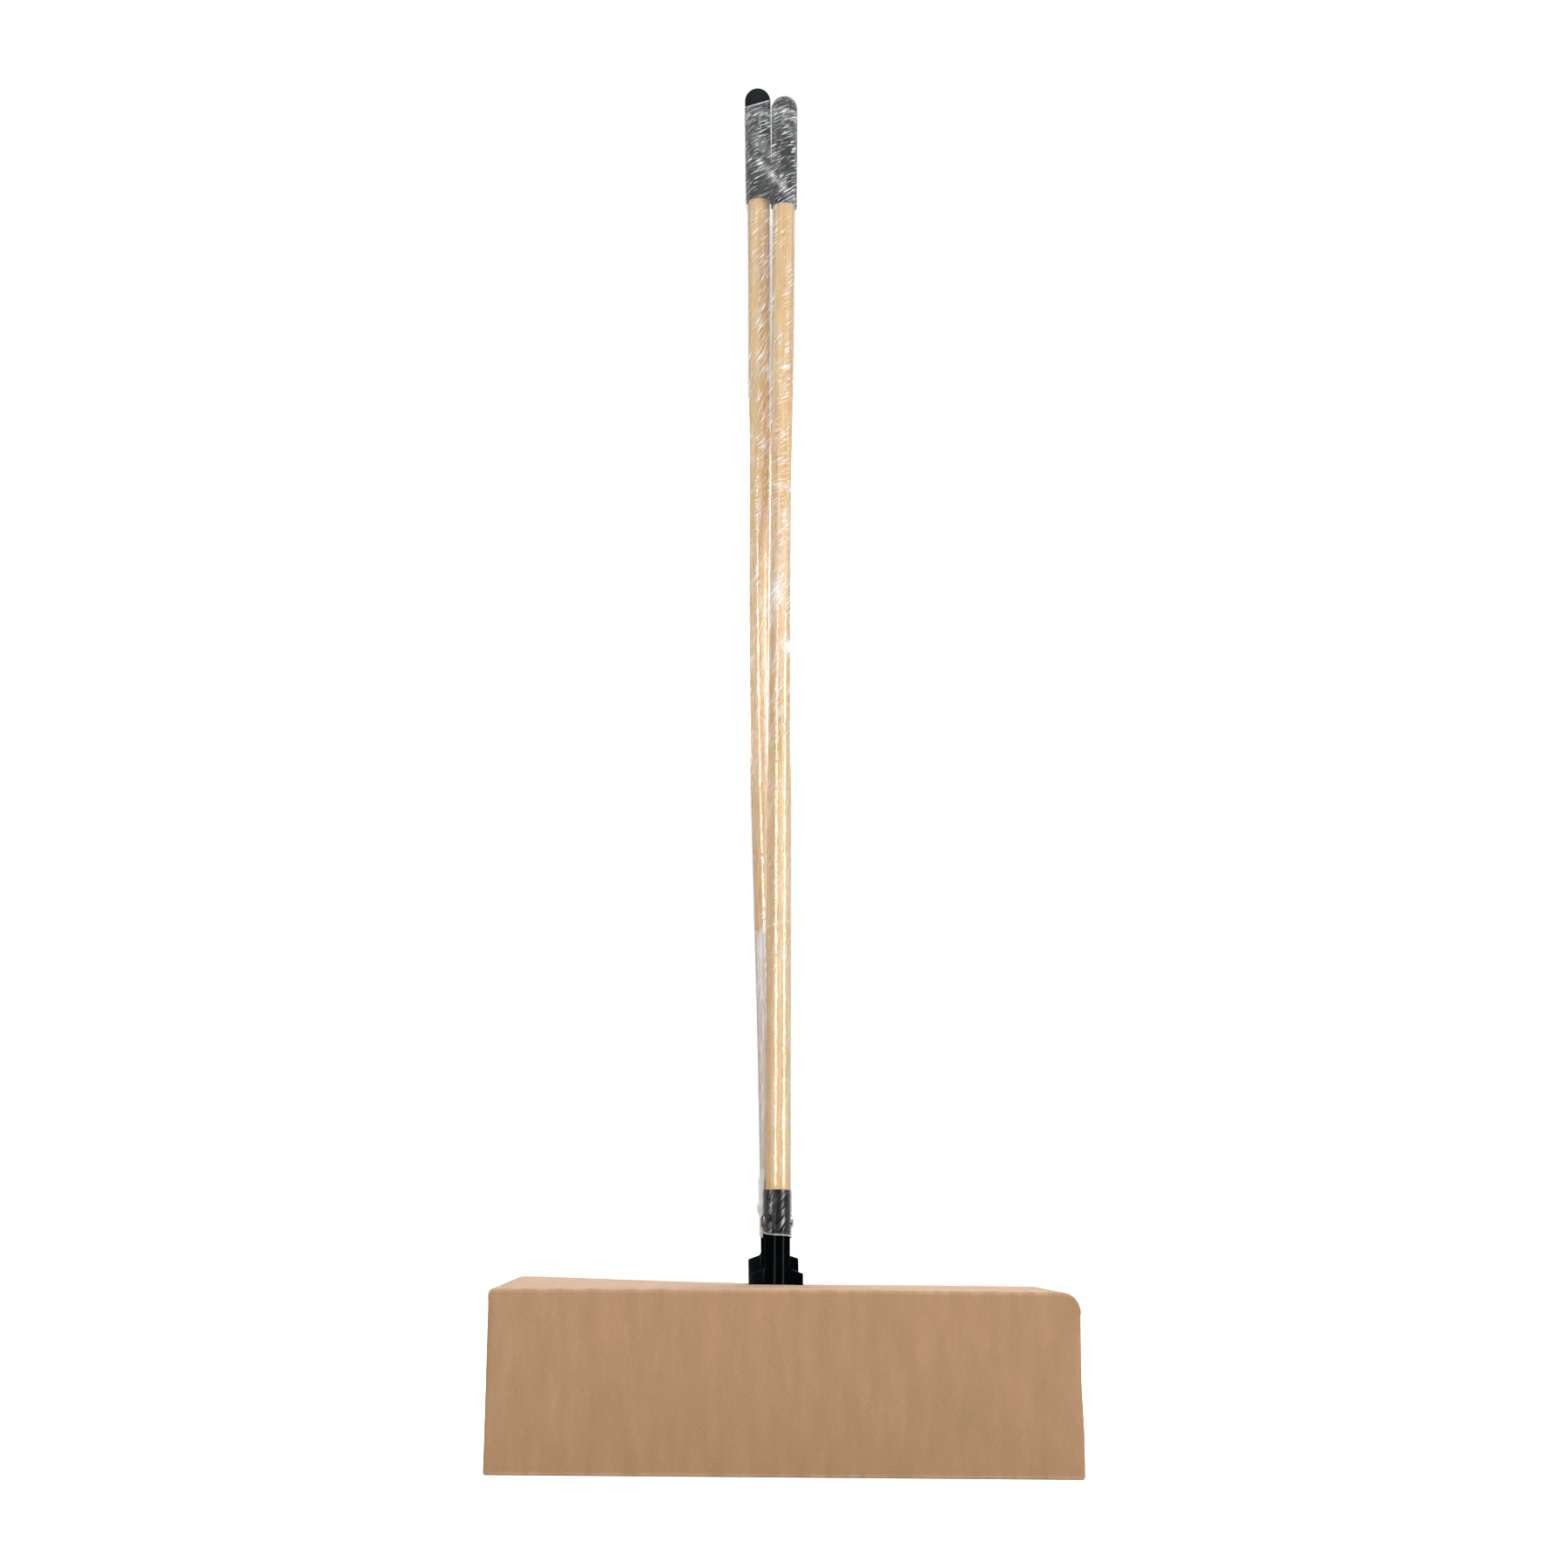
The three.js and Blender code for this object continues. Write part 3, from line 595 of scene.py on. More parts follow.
# ---- Fasteners ----
def cross_recess(size, depth, top):
    """The cutter for a cross recess in a screw's head."""
    arms = []
    for turn in (0, QUARTER):
        arm = prism(rounded(size, size * 0.26, size * 0.05, 2), top - depth, top + size)
        arms.append(bmesh_object("arm", arm, MATERIALS["fastener"], rotate(turn, "Z")))
    return arms


def screw_mesh(shank, head, height, reach, seat):
    """A pan-headed screw with rolled thread rings and a cross recess, its head's underside at seat."""
    thread, pitch = [], 1.3 * MM
    z = seat - reach + 3 * shank
    while z < seat - 2 * pitch:
        crest = [(shank, z + pitch * 0.35), (shank, z + pitch * 0.5)]
        thread += [(shank * 0.78, z), *crest, (shank * 0.78, z + pitch * 0.85)]
        z += pitch
    angles = [QUARTER * i / 6 for i in range(6)]
    crown = [(head * math.cos(a), seat + height * (0.35 + 0.65 * math.sin(a))) for a in angles]
    brim = [(shank * 0.8, seat), (head * 0.96, seat), (head, seat + height * 0.12)]
    profile = [(0, seat - reach), *thread, *brim, *crown, (0, seat + height)]
    screw = bmesh_object("screw", lathe_bmesh(profile, 28), MATERIALS["fastener"])
    combine(screw, cross_recess(head * 1.05, height * 0.6, seat + height), "DIFFERENCE")
    mesh = screw.data
    bpy.data.objects.remove(screw, do_unlink=True)
    return mesh


def make_screws(tool):
    foot = screw_mesh(2.4 * MM, 5 * MM, 3 * MM, 24 * MM, FOOT_THICK + 2 * GAP)
    blade = screw_mesh(2.1 * MM, 4.5 * MM, 2.4 * MM, 18 * MM, BLADE_THICK + 2 * GAP)
    places = [(foot, "bracket_screw", x, y) for x, y in FOOT_SCREWS]
    places += [(blade, "scraper_screw", x, BLADE_SCREW_Y) for x in BLADE_SCREW_X]
    counts = {}
    for index, (mesh, kind, x, y) in enumerate(places):
        counts[kind] = counts.get(kind, 0) + 1
        node = f"{tool.name}_{kind}_{counts[kind]}"
        obj = link(f"{node}_piece", mesh.copy(), MATERIALS["fastener"])
        place = tool.head @ move(x, y, 0) @ rotate(0.7 * index, "Z")
        settle(obj, [node], place)


def make_cross_bolt(tool):
    across = move(0, 0, BOLT_HEIGHT) @ rotate(QUARTER, "Y")
    face = -SOCKET_RADIUS - GAP
    end = SOCKET_RADIUS + GAP + 2.3 * MM
    radius, crown = 4.75 * MM, 2.1 * MM
    angles = [QUARTER * i / 7 for i in range(7)]
    head = [(radius * math.cos(a), face - 0.5 * MM - crown * math.sin(a)) for a in angles]
    thread, z = [], SOCKET_RADIUS - 8 * MM
    while z < end - 1.2 * MM:
        thread += [(BOLT_RADIUS, z), (BOLT_RADIUS - 0.35 * MM, z + 0.4 * MM), (BOLT_RADIUS, z + 0.8 * MM)]
        z += 0.82 * MM
    top = [(0, face - 2.6 * MM), *reversed(head), (radius, face), (BOLT_RADIUS, face)]
    profile = [*top, *thread, (BOLT_RADIUS - 0.4 * MM, end), (0, end)]
    bolt = bmesh_object(f"{tool.name}_bolt", lathe_bmesh(profile, 40), MATERIALS["fastener"])
    recess = cross_recess(5 * MM, 1.5 * MM, -face + 2.6 * MM)
    for arm in recess:
        arm.data.transform(rotate(math.pi, "X"))
    combine(bolt, recess, "DIFFERENCE")
    settle(bolt, [f"{tool.name}_cross_bolt"], tool.matrix @ across)

    start = SOCKET_RADIUS + GAP
    sixth, corner = math.pi / 3, 4.6 * MM
    outline = [(corner * math.cos(sixth * k), corner * math.sin(sixth * k)) for k in range(6)]
    hexagon = prism(outline, start, start + 2.6 * MM, 0.25 * MM, 2)
    nut = bmesh_object(f"{tool.name}_nut", hexagon, MATERIALS["fastener"])
    bore = cylinder(BOLT_RADIUS + 0.05 * MM, start - MM, start + 4 * MM, 32)
    combine(nut, [bmesh_object("bore", bore, MATERIALS["fastener"])], "DIFFERENCE")
    settle(nut, [f"{tool.name}_cross_nut"], tool.matrix @ across)


# ---- Head: block, bristles and scraper blade ----
def make_block(tool):
    black = MATERIALS["block"]
    outline = rounded(BLOCK_LENGTH, BLOCK_WIDTH, BLOCK_CORNER, 10)
    block = bmesh_object(f"{tool.name}_block", prism(outline, -BLOCK_THICK, 0, 2.5 * MM, 4), black)
    pockets = []
    length, width = 62 * MM, 20 * MM
    for side in (-1, 1):
        for k in range(3):
            x = side * (100 * MM + k * 72 * MM)
            pocket = prism(rounded(length, width, 5 * MM), -3 * MM, 5 * MM)
            pockets.append(bmesh_object("pocket", pocket, black, move(x, -14 * MM, 0)))
    combine(block, pockets, "DIFFERENCE")
    return settle(block, [f"{tool.name}_head_block"], tool.head)


def make_bristles(tool):
    """Tufts of separate filaments that splay a little, one object for each row."""
    generator = np.random.default_rng(7 if tool.name == "front" else 19)
    tufts, filaments = 44, 15
    top = -BLOCK_THICK + 0.5 * MM
    for row in range(BRISTLE_ROWS):
        points, faces = [], []
        for tuft in range(tufts):
            x = (tuft + 0.5 + 0.5 * (row % 2 - 0.5)) / tufts * BRISTLE_SPAN - BRISTLE_SPAN / 2
            y = (row - (BRISTLE_ROWS - 1) / 2) * BRISTLE_PITCH
            for _ in range(filaments):
                angle = generator.random() * 2 * math.pi
                spread = math.sqrt(generator.random())
                dx, dy = spread * math.cos(angle), spread * math.sin(angle)
                splay = (3.4 + generator.random()) * MM
                length = BRISTLE_LENGTH - generator.random() * 4 * MM
                wave = (generator.random() - 0.5) * 2 * MM
                first = len(points)
                for step in range(4):
                    share = step / 3
                    cx = x + dx * (1.9 * MM + splay * share**1.4) + wave * math.sin(math.pi * share)
                    cy = y + dy * (1.7 * MM + splay * 0.5 * share**1.4)
                    thick = (0.42 - 0.18 * share) * MM
                    for k in range(4):
                        px, py = cx + thick * math.cos(QUARTER * k), cy + thick * math.sin(QUARTER * k)
                        points.append((px, py, top - length * share))
                for step in range(3):
                    for k in range(4):
                        a, b = first + step * 4 + k, first + step * 4 + (k + 1) % 4
                        faces.append((b, a, a + 4, b + 4))
                faces.append(tuple(first + k for k in range(4)))
                faces.append(tuple(first + 12 + k for k in reversed(range(4))))
        mesh = build_mesh("bristles", points, faces, 60)
        obj = link(f"{tool.name}_bristles_{row + 1}", mesh, MATERIALS["bristle"])
        settle(obj, [f"{tool.name}_bristle_row_{row + 1}"], tool.head)


def make_blade(tool):
    half, sharp = BLADE_LENGTH / 2, 6 * MM
    low, high = GAP, GAP + BLADE_THICK
    section = [
        (BLADE_INNER, low),
        (BLADE_EDGE - sharp, low),
        (BLADE_EDGE, high - 0.5 * MM),
        (BLADE_EDGE, high),
        (BLADE_INNER, high),
    ]
    bm = prism(section, -half, half, 0.2 * MM, 1)
    turn = Matrix(((0, 0, 1, 0), (1, 0, 0, 0), (0, 1, 0, 0), (0, 0, 0, 1)))
    bright = MATERIALS["blade"]
    blade = bmesh_object(f"{tool.name}_blade", bm, bright, turn)
    notch = prism(rounded(118 * MM, 34 * MM, 4 * MM), -2 * MM, 8 * MM)
    cutters = [bmesh_object("notch", notch, bright, move(0, BLADE_INNER, 0))]
    for x in BLADE_SCREW_X:
        hole = cylinder(2.45 * MM, -MM, 6 * MM, 24)
        cutters.append(bmesh_object("hole", hole, bright, move(x, BLADE_SCREW_Y, 0)))
    combine(blade, cutters, "DIFFERENCE")
    settle(blade, [f"{tool.name}_scraper_blade"], tool.head)


# ---- Corrugated board ----
LINER = 0.4 * MM
FLUTE_PITCH = 7.9 * MM
CREASE_RADIUS = 2.2 * MM
EDGE_RADIUS = 3.6 * MM # of the carton's upright edges


def crease_path(corners, straight=6 * MM, arc_steps=8):
    """The outer face's outline, rounded at each corner: its points, outward normals and arc lengths."""
    corners = [np.array(c, float) for c in corners]
    headings = [(b - a) / np.linalg.norm(b - a) for a, b in zip(corners, corners[1:])]
    points, normals = [], []
    for i, heading in enumerate(headings):
        start, end = corners[i], corners[i + 1]
        outward = np.array([-heading[1], heading[0]])
        if i > 0:
            start = start + heading * CREASE_RADIUS
        if i < len(headings) - 1:
            end = end - heading * CREASE_RADIUS
        length = np.linalg.norm(end - start)
        steps = max(2, int(round(length / straight)))
        shares = np.linspace(0, 1, steps + 1)
        close = np.clip(np.array([1.2, 2.6, 4.2]) * MM / length, 0, 1)
        shares = np.union1d(shares, [*close, *(1 - close)])
        for share in shares[(0 if i == 0 else 1):]:
            points.append(start + (end - start) * share)
            normals.append(outward)
        if i < len(headings) - 1:
            following = headings[i + 1]
            middle = end - outward * CREASE_RADIUS
            out_next = np.array([-following[1], following[0]])
            for k in range(1, arc_steps + 1):
                angle = QUARTER * k / arc_steps
                normal = outward * math.cos(angle) + out_next * math.sin(angle)
                points.append(middle + normal * CREASE_RADIUS)
                normals.append(normal)
    points, normals = np.array(points), np.array(normals)
    lengths = np.concatenate([[0], np.cumsum(np.linalg.norm(np.diff(points, axis=0), axis=1))])
    return points, normals, lengths


def closed_shell(top, bottom, quads, uv):
    """A thin closed solid: quads over the top points, the same below them, and walls at the open edges."""
    count = len(top)
    edges = np.concatenate([quads[:, [i, (i + 1) % 4]] for i in range(4)])
    forward = edges[:, 0].astype(np.int64) * count + edges[:, 1]
    backward = edges[:, 1].astype(np.int64) * count + edges[:, 0]
    rim = edges[~np.isin(forward, backward)]
    walls = np.column_stack([rim[:, 1], rim[:, 0], rim[:, 0] + count, rim[:, 1] + count])
    faces = np.vstack([quads, quads[:, ::-1] + count, walls])
    points, uv = np.vstack([top, bottom]), np.vstack([uv, uv])
    used, compact = np.unique(faces, return_inverse=True)
    return points[used], compact.reshape(faces.shape), uv[used]


class Board:
    """A corrugated sheet on a creased path: two liners and a fluted core, with a notch in some ends."""

    def __init__(self, corners, half, place, notch=None, free_ends=None):
        self.corners = np.array(corners)
        self.path, self.normals, self.lengths = crease_path(corners)
        self.half, self.place, self.notch = half, place, notch
        self.total = self.lengths[-1]
        self.round_from, self.round_to = free_ends or (self.total, 0)

    def rows(self):
        rows = self.lengths
        if self.notch:
            steps = np.array([-12, -8, -4, 0, 3, 6, 9, 12]) * MM
            rows = np.union1d(rows, self.total - self.notch[1] + steps)
        return rows[np.concatenate([[True], np.diff(rows) > 1e-6])]

    def columns(self, pitch, reach):
        ends = reach - np.array([0, 0.3, 0.8, 1.5, 2.4, 3.6, 6, 9, 13]) * MM
        columns = np.concatenate([np.arange(-reach, reach, pitch), ends, -ends])
        if self.notch:
            columns = np.concatenate([columns, self.notch[0] + np.array([-NOTCH_HALF, NOTCH_HALF])])
        columns = np.unique(np.round(columns, 6))
        return columns[np.concatenate([[True], np.diff(columns) > 1.5e-4])]

    def shell(self, pitch, depth, reach, band=None):
        """depth(along) gives a layer's top and bottom under the outer face. band keeps what a cut shows."""
        rows, columns = self.rows(), self.columns(pitch, reach)
        along, run = np.meshgrid(columns, rows)
        keep = np.ones((len(rows) - 1, len(columns) - 1), bool)
        middle_run = (run[1:, 1:] + run[:-1, :-1]) / 2
        middle_along = (along[1:, 1:] + along[:-1, :-1]) / 2
        if self.notch:
            beside = np.abs(middle_along - self.notch[0]) - NOTCH_HALF
            end = self.total - self.notch[1]
            keep &= ~((beside < 0) & (middle_run > end))
        if band is not None:
            near = np.abs(middle_along) > reach - band
            near |= (middle_run > self.total - band) | (middle_run < band)
            if self.notch:
                near |= (np.abs(beside) < band) & (middle_run > end - band)
                near |= (beside < band) & (np.abs(middle_run - end) < band)
            keep &= near
        row, column = np.nonzero(keep)
        width = len(columns)
        first = row * width + column
        quads = np.column_stack([first, first + 1, first + width + 1, first + width])
        uv = np.column_stack([along.ravel(), run.ravel()])
        top, bottom = (self.map(along.ravel(), run.ravel(), d.ravel()) for d in depth(along))
        return closed_shell(top, bottom, quads, uv)

    def map(self, along, run, depth):
        """Where a point lies that is so far along the crease, on along the path and under the face."""
        across = np.interp(run, self.lengths, self.path[:, 0])
        up = np.interp(run, self.lengths, self.path[:, 1])
        out = np.interp(run, self.lengths, self.normals[:, 0])
        out_up = np.interp(run, self.lengths, self.normals[:, 1])
        past = np.clip(np.abs(along) - (self.half - EDGE_RADIUS), 0, EDGE_RADIUS)
        roundness = smoothstep(self.round_from, self.round_from + 6 * MM, run)
        roundness = roundness * (1 - smoothstep(self.round_to - 6 * MM, self.round_to, run))
        depth = depth + roundness * (EDGE_RADIUS - np.sqrt(np.maximum(EDGE_RADIUS**2 - past**2, 0)))
        across, up = across - out * depth, up - out_up * depth
        if len(self.corners) > 2: # inside a fold the layers are pressed into its corner
            low, high = self.corners.min(axis=0), self.corners.max(axis=0)
            across = np.maximum(across, low[0] + depth)
            up = np.clip(up, low[1] + depth, high[1] - depth)
        return self.place(along, across, up)

    def crease_highlight(self, run):
        """1 along a fold and 0 away from it: how far the board colour is lightened there, a painted
        highlight on the crease.
        """
        bends = np.abs(np.diff(self.normals, axis=0)).sum(axis=1) > 1e-6
        middles = (self.lengths[1:] + self.lengths[:-1])[bends] / 2
        if len(middles) == 0:
            return np.zeros(len(run))
        nearest = np.min(np.abs(run[:, None] - middles[None]), axis=1)
        return hump(nearest, 1.6 * MM)

    def make(self, name):
        skin = self.shell(6 * MM, lambda a: (0 * a, 0 * a + LINER), self.half)
        lining = self.shell(6 * MM, lambda a: (0 * a + BOARD - LINER, 0 * a + BOARD), self.half - 0.5 * MM)

        def wave(a):
            middle = BOARD / 2 + (BOARD / 2 - LINER - 0.16 * MM) * np.sin(2 * math.pi * a / FLUTE_PITCH)
            return middle - 0.14 * MM, middle + 0.14 * MM

        core = self.shell(FLUTE_PITCH / 10, wave, self.half - 0.5 * MM, band=14 * MM)
        points, faces, uv, start = [], [], [], 0
        for part_points, part_faces, part_uv in (skin, lining, core):
            points.append(slump(part_points))
            faces.append(part_faces + start)
            uv.append(part_uv)
            start += len(part_points)
        mesh = bpy.data.meshes.new(name)
        mesh.from_pydata(np.vstack(points).tolist(), [], np.vstack(faces).tolist())
        shade(mesh, 50)
        uv = np.vstack(uv)
        set_uv(mesh, uv)
        # the painted crease highlight, which the board material reads
        add_float(mesh, "crease_light", self.crease_highlight(uv[:, 1]))
        obj = link(name, mesh, MATERIALS["board"])
        bm = bmesh.new()
        bm.from_mesh(mesh)
        bmesh.ops.remove_doubles(bm, verts=bm.verts, dist=0.001 * MM)
        bmesh.ops.recalc_face_normals(bm, faces=bm.faces)
        bm.to_mesh(mesh)
        bm.free()
        return obj


# How many millimetres the upper creases stand above their plain height, at shares of the half width.
FRONT_CREASE_SHARES = [-1, -0.5, 0, 0.5, 1]
FRONT_CREASE_HEIGHTS = [1.2, 2.0, 2.8, 2.4, 2.0]
BACK_CREASE_SHARES = [-1, -0.9, -0.6, -0.4, -0.15, 0.1, 0.6, 0.9, 1]
BACK_CREASE_HEIGHTS = [3.8, 3.6, 0.8, -0.8, -2.2, -3.4, -3.2, -3.5, -4.0]
LEFT_CRUSH, RIGHT_CRUSH = 6 * MM, 21 * MM # how round the upper ends are


def slump(points):
    """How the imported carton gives: creases sag, corners are crushed, and a tool lifts the front flap."""
    x, y, z = points[:, 0].copy(), points[:, 1].copy(), points[:, 2].copy()
    back = np.clip(y / DEPTH + 0.5, 0, 1)
    side = np.clip(x / (WIDTH / 2), -1, 1)
    front_rise = np.interp(side, FRONT_CREASE_SHARES, FRONT_CREASE_HEIGHTS)
    back_rise = np.interp(side, BACK_CREASE_SHARES, BACK_CREASE_HEIGHTS)
    sag = (front_rise * (1 - back) + back_rise * back) * MM
    opening = TOOLS[0].base.y - SOCKET_RADIUS
    near_tool = hump(x - TOOLS[0].base.x, 100 * MM) * hump(y - opening, 26 * MM)
    lift = 2.6 * MM * near_tool * (y < 0)
    crushed = np.zeros(len(x))
    for end, radius in ((-1, LEFT_CRUSH), (1, RIGHT_CRUSH)):
        past = np.clip(end * x - (WIDTH / 2 - radius), 0, radius)
        fall = radius - np.sqrt(np.maximum(radius**2 - past**2, 0))
        crushed -= np.minimum(fall, radius * 0.85)
    low_side = smoothstep(WIDTH / 2 - 25 * MM, WIDTH / 2 - 5 * MM, np.abs(x))
    foot = 4 * MM
    under = np.clip(foot - z, 0, foot)
    x = x - np.sign(x) * low_side * (foot - np.sqrt(foot**2 - under**2)) * 0.8
    x = x + 2.4 * MM * low_side * (x > 0) * (1 - smoothstep(0.04, 0.11, z))
    z = z + smoothstep(0.11, 0.19, z) * (sag + lift) + smoothstep(HEIGHT - 0.055, HEIGHT, z) * crushed
    bulge = 1.8 * MM * np.sin(math.pi * np.clip(z / HEIGHT, 0, 1)) * (1 - side**2)
    y = y + np.sign(y) * bulge * smoothstep(0.10, 0.13, np.abs(y))
    return np.column_stack([x, y, z])


def place_sheet(board, name):
    """One folded sheet, standing for its side's bottom flap, wall and top flap, which it hides."""
    obj = board.make(f"carton_{name}_sheet")
    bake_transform(obj)
    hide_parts(f"bottom_flap_{name}", f"carton_{name}_wall", f"top_flap_{name}")


def make_carton():
    y, x = DEPTH / 2, WIDTH / 2
    seam = 0.2 * MM
    end_flap = 130 * MM
    for side, name in ((1, "front"), (-1, "back")):
        tool = TOOLS[0] if side > 0 else TOOLS[1]
        reach = abs(tool.base.y - side * (SOCKET_RADIUS + 2.5 * MM)) - seam
        board = Board(
            [(-seam, 0), (-y, 0), (-y, HEIGHT), (-seam, HEIGHT)],
            x,
            lambda a, t, up, s=side: np.column_stack([a, s * t, up]),
            notch=(tool.base.x, reach),
            free_ends=(y - 2 * MM, y + HEIGHT - 5 * MM),
        )
        low = Vector((0, -side * (y + 2.5 * MM), HEIGHT - 2.5 * MM))
        high = Vector((0, -side * (y - 2.5 * MM), HEIGHT + 2.5 * MM))
        place_sheet(board, name)
    floor, roof = BOARD + GAP, HEIGHT - BOARD - GAP
    reach = x - BOARD - GAP - end_flap
    for side, name in ((1, "left"), (-1, "right")):
        board = Board(
            [(-reach, floor), (-x, floor), (-x, roof), (-reach, roof)],
            y - BOARD - GAP,
            lambda a, t, up, s=side: np.column_stack([s * t, a, up]),
        )
        low = Vector((-side * (x + 1.5 * MM), 0, roof - 1.5 * MM))
        high = Vector((-side * (x - 2.5 * MM), 0, roof + 2.5 * MM))
        place_sheet(board, name)
    low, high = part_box("carton_glue_tab")
    middle, half = (low.y + high.y) / 2, (high.y - low.y) / 2
    tab = Board(
        [(-high.x, low.z), (-high.x, high.z)],
        half,
        lambda a, t, up: np.column_stack([-t, a + middle, up]),
    )
    obj = tab.make("carton_tab_sheet")
    settle(obj, ["carton_glue_tab"], body="carton")


# ---- Stretch film ----
ARC, WEB = 46, 52 # columns round each handle and across each web
FILM_TOP = 1.678 # above it a separate cap clings to each grip
LAYER_END = 0.617 # where the top edge of one more layer lies
CROSSING = 1.573 # where a hazy band slants across the grips
SOCKET_EDGE = 0.32 # where the film passes from the wood to the sockets
WRAP_RISE = 96 * MM # from one wrapping turn to the next


def film_radius(tool, z):
    """The radius that the film lies on, all round a tool, at each height."""
    along = tool.along(z)
    above = smoothstep(SOCKET_TOP - 1 * MM, SOCKET_TOP + 4 * MM, along)
    plain = (SOCKET_RADIUS + 0.9 * MM) * (1 - above) + HANDLE_RADIUS * above
    grip = smoothstep(GRIP_BOTTOM - 14 * MM, GRIP_BOTTOM - 1 * MM, along)
    return plain * (1 - grip) + GRIP_RADIUS * grip


def bolt_bulge(tool, z, angle):
    """Extra radius where the film stands over the ends of the cross bolt."""
    height = np.abs(tool.along(z) - BOLT_HEIGHT)
    over = 1 - smoothstep(4.5 * MM, 8 * MM, height)
    side = np.abs(np.cos(angle))
    return 2.3 * MM * over * smoothstep(0.92, 0.985, side)


def film_ring(z):
    """One level of the film: points, outward normals, distance round, and how loosely it hangs there."""
    front, rear = TOOLS
    c1, c2 = front.centre_at(z), rear.centre_at(z)
    lift = 0.6 * MM
    r1, r2 = (float(film_radius(tool, z)) + lift for tool in TOOLS)
    between = c2 - c1
    heading = math.atan2(between[1], between[0])
    swing = math.acos((r1 - r2) / np.linalg.norm(between))

    def arc(c, r, tool, start, end):
        angles = np.linspace(start, end, ARC + 1)
        reach = r + bolt_bulge(tool, z, angles)
        ways = np.column_stack([np.cos(angles), np.sin(angles)])
        return c + ways * reach[:, None], ways

    def web(a, b, way):
        shares = np.linspace(0, 1, WEB + 1)[1:-1, None]
        return a + (b - a) * shares, np.repeat(way[None], WEB - 1, axis=0)

    # round the front handle, across to the rear one, round it, and back
    p1, n1 = arc(c1, r1, front, heading + swing, heading - swing + 2 * math.pi)
    p2, n2 = arc(c2, r2, rear, heading - swing, heading + swing)
    wa, na = web(p1[-1], p2[0], n2[0])
    wb, nb = web(p2[-1], p1[0], n1[0])
    free = 0.5 - 0.5 * np.cos(np.linspace(0, 2 * math.pi, WEB + 1)[1:-1])
    points = np.vstack([p1, wa, p2, wb])
    normals = np.vstack([n1, na, n2, nb])
    looseness = np.concatenate([np.zeros(ARC + 1), free, np.zeros(ARC + 1), free])
    steps = np.linalg.norm(np.diff(points, axis=0), axis=1)
    around = np.concatenate([[0], np.cumsum(steps)])
    return points, normals, around - around[ARC // 2], looseness


def wrinkles(around, height, looseness):
    """How far the film stands off, in metres: slanting gathers, upright waves and small crumples."""
    slant = math.radians(34)
    along = around * math.cos(slant) + height * math.sin(slant)
    across = -around * math.sin(slant) + height * math.cos(slant)
    upper = smoothstep(0.75, 1.15, height)
    gathers = np.abs(ripple_field(along / (24 * MM), across / (3.4 * MM), 5)) * (0.35 + 0.65 * upper)
    waves = ripple_field(around / (4.5 * MM), height / (60 * MM), 6) * (1 - 0.5 * upper)
    crumples = ripple_field(around / (3 * MM), height / (3.5 * MM), 8)
    slack = ripple_field(around / (30 * MM), height / (45 * MM), 9)
    return (0.55 * gathers + 0.3 * waves + 0.12 * crumples) * MM + looseness * (1.3 * slack - 1.0) * MM


def pull_slope(height):
    """How steeply the film's creases rise to the right at each height, as the wrapping pulled it."""
    heights = [0.25, 0.50, 0.95, 1.08, 1.16, 1.24, 1.36, 1.46, 1.54, 1.68]
    degrees = [52, 58, 56, 44, 16, 26, 42, 47, 38, 20]
    return np.tan(np.radians(np.interp(height, heights, degrees)))


# Whiter patches of the film: height, half height, distance round, half width, all in metres, and strength.
# The first two are painted highlights on the front handle.
PATCHES = [
    (0.957, 0.011, 0.008, 0.013, 0.40),
    (1.030, 0.030, -0.012, 0.012, 0.32),
    (1.165, 0.006, 0.0, 0.040, 0.22),
    (1.120, 0.020, -0.004, 0.010, 0.14),
    (1.500, 0.030, 0.010, 0.010, 0.10),
]


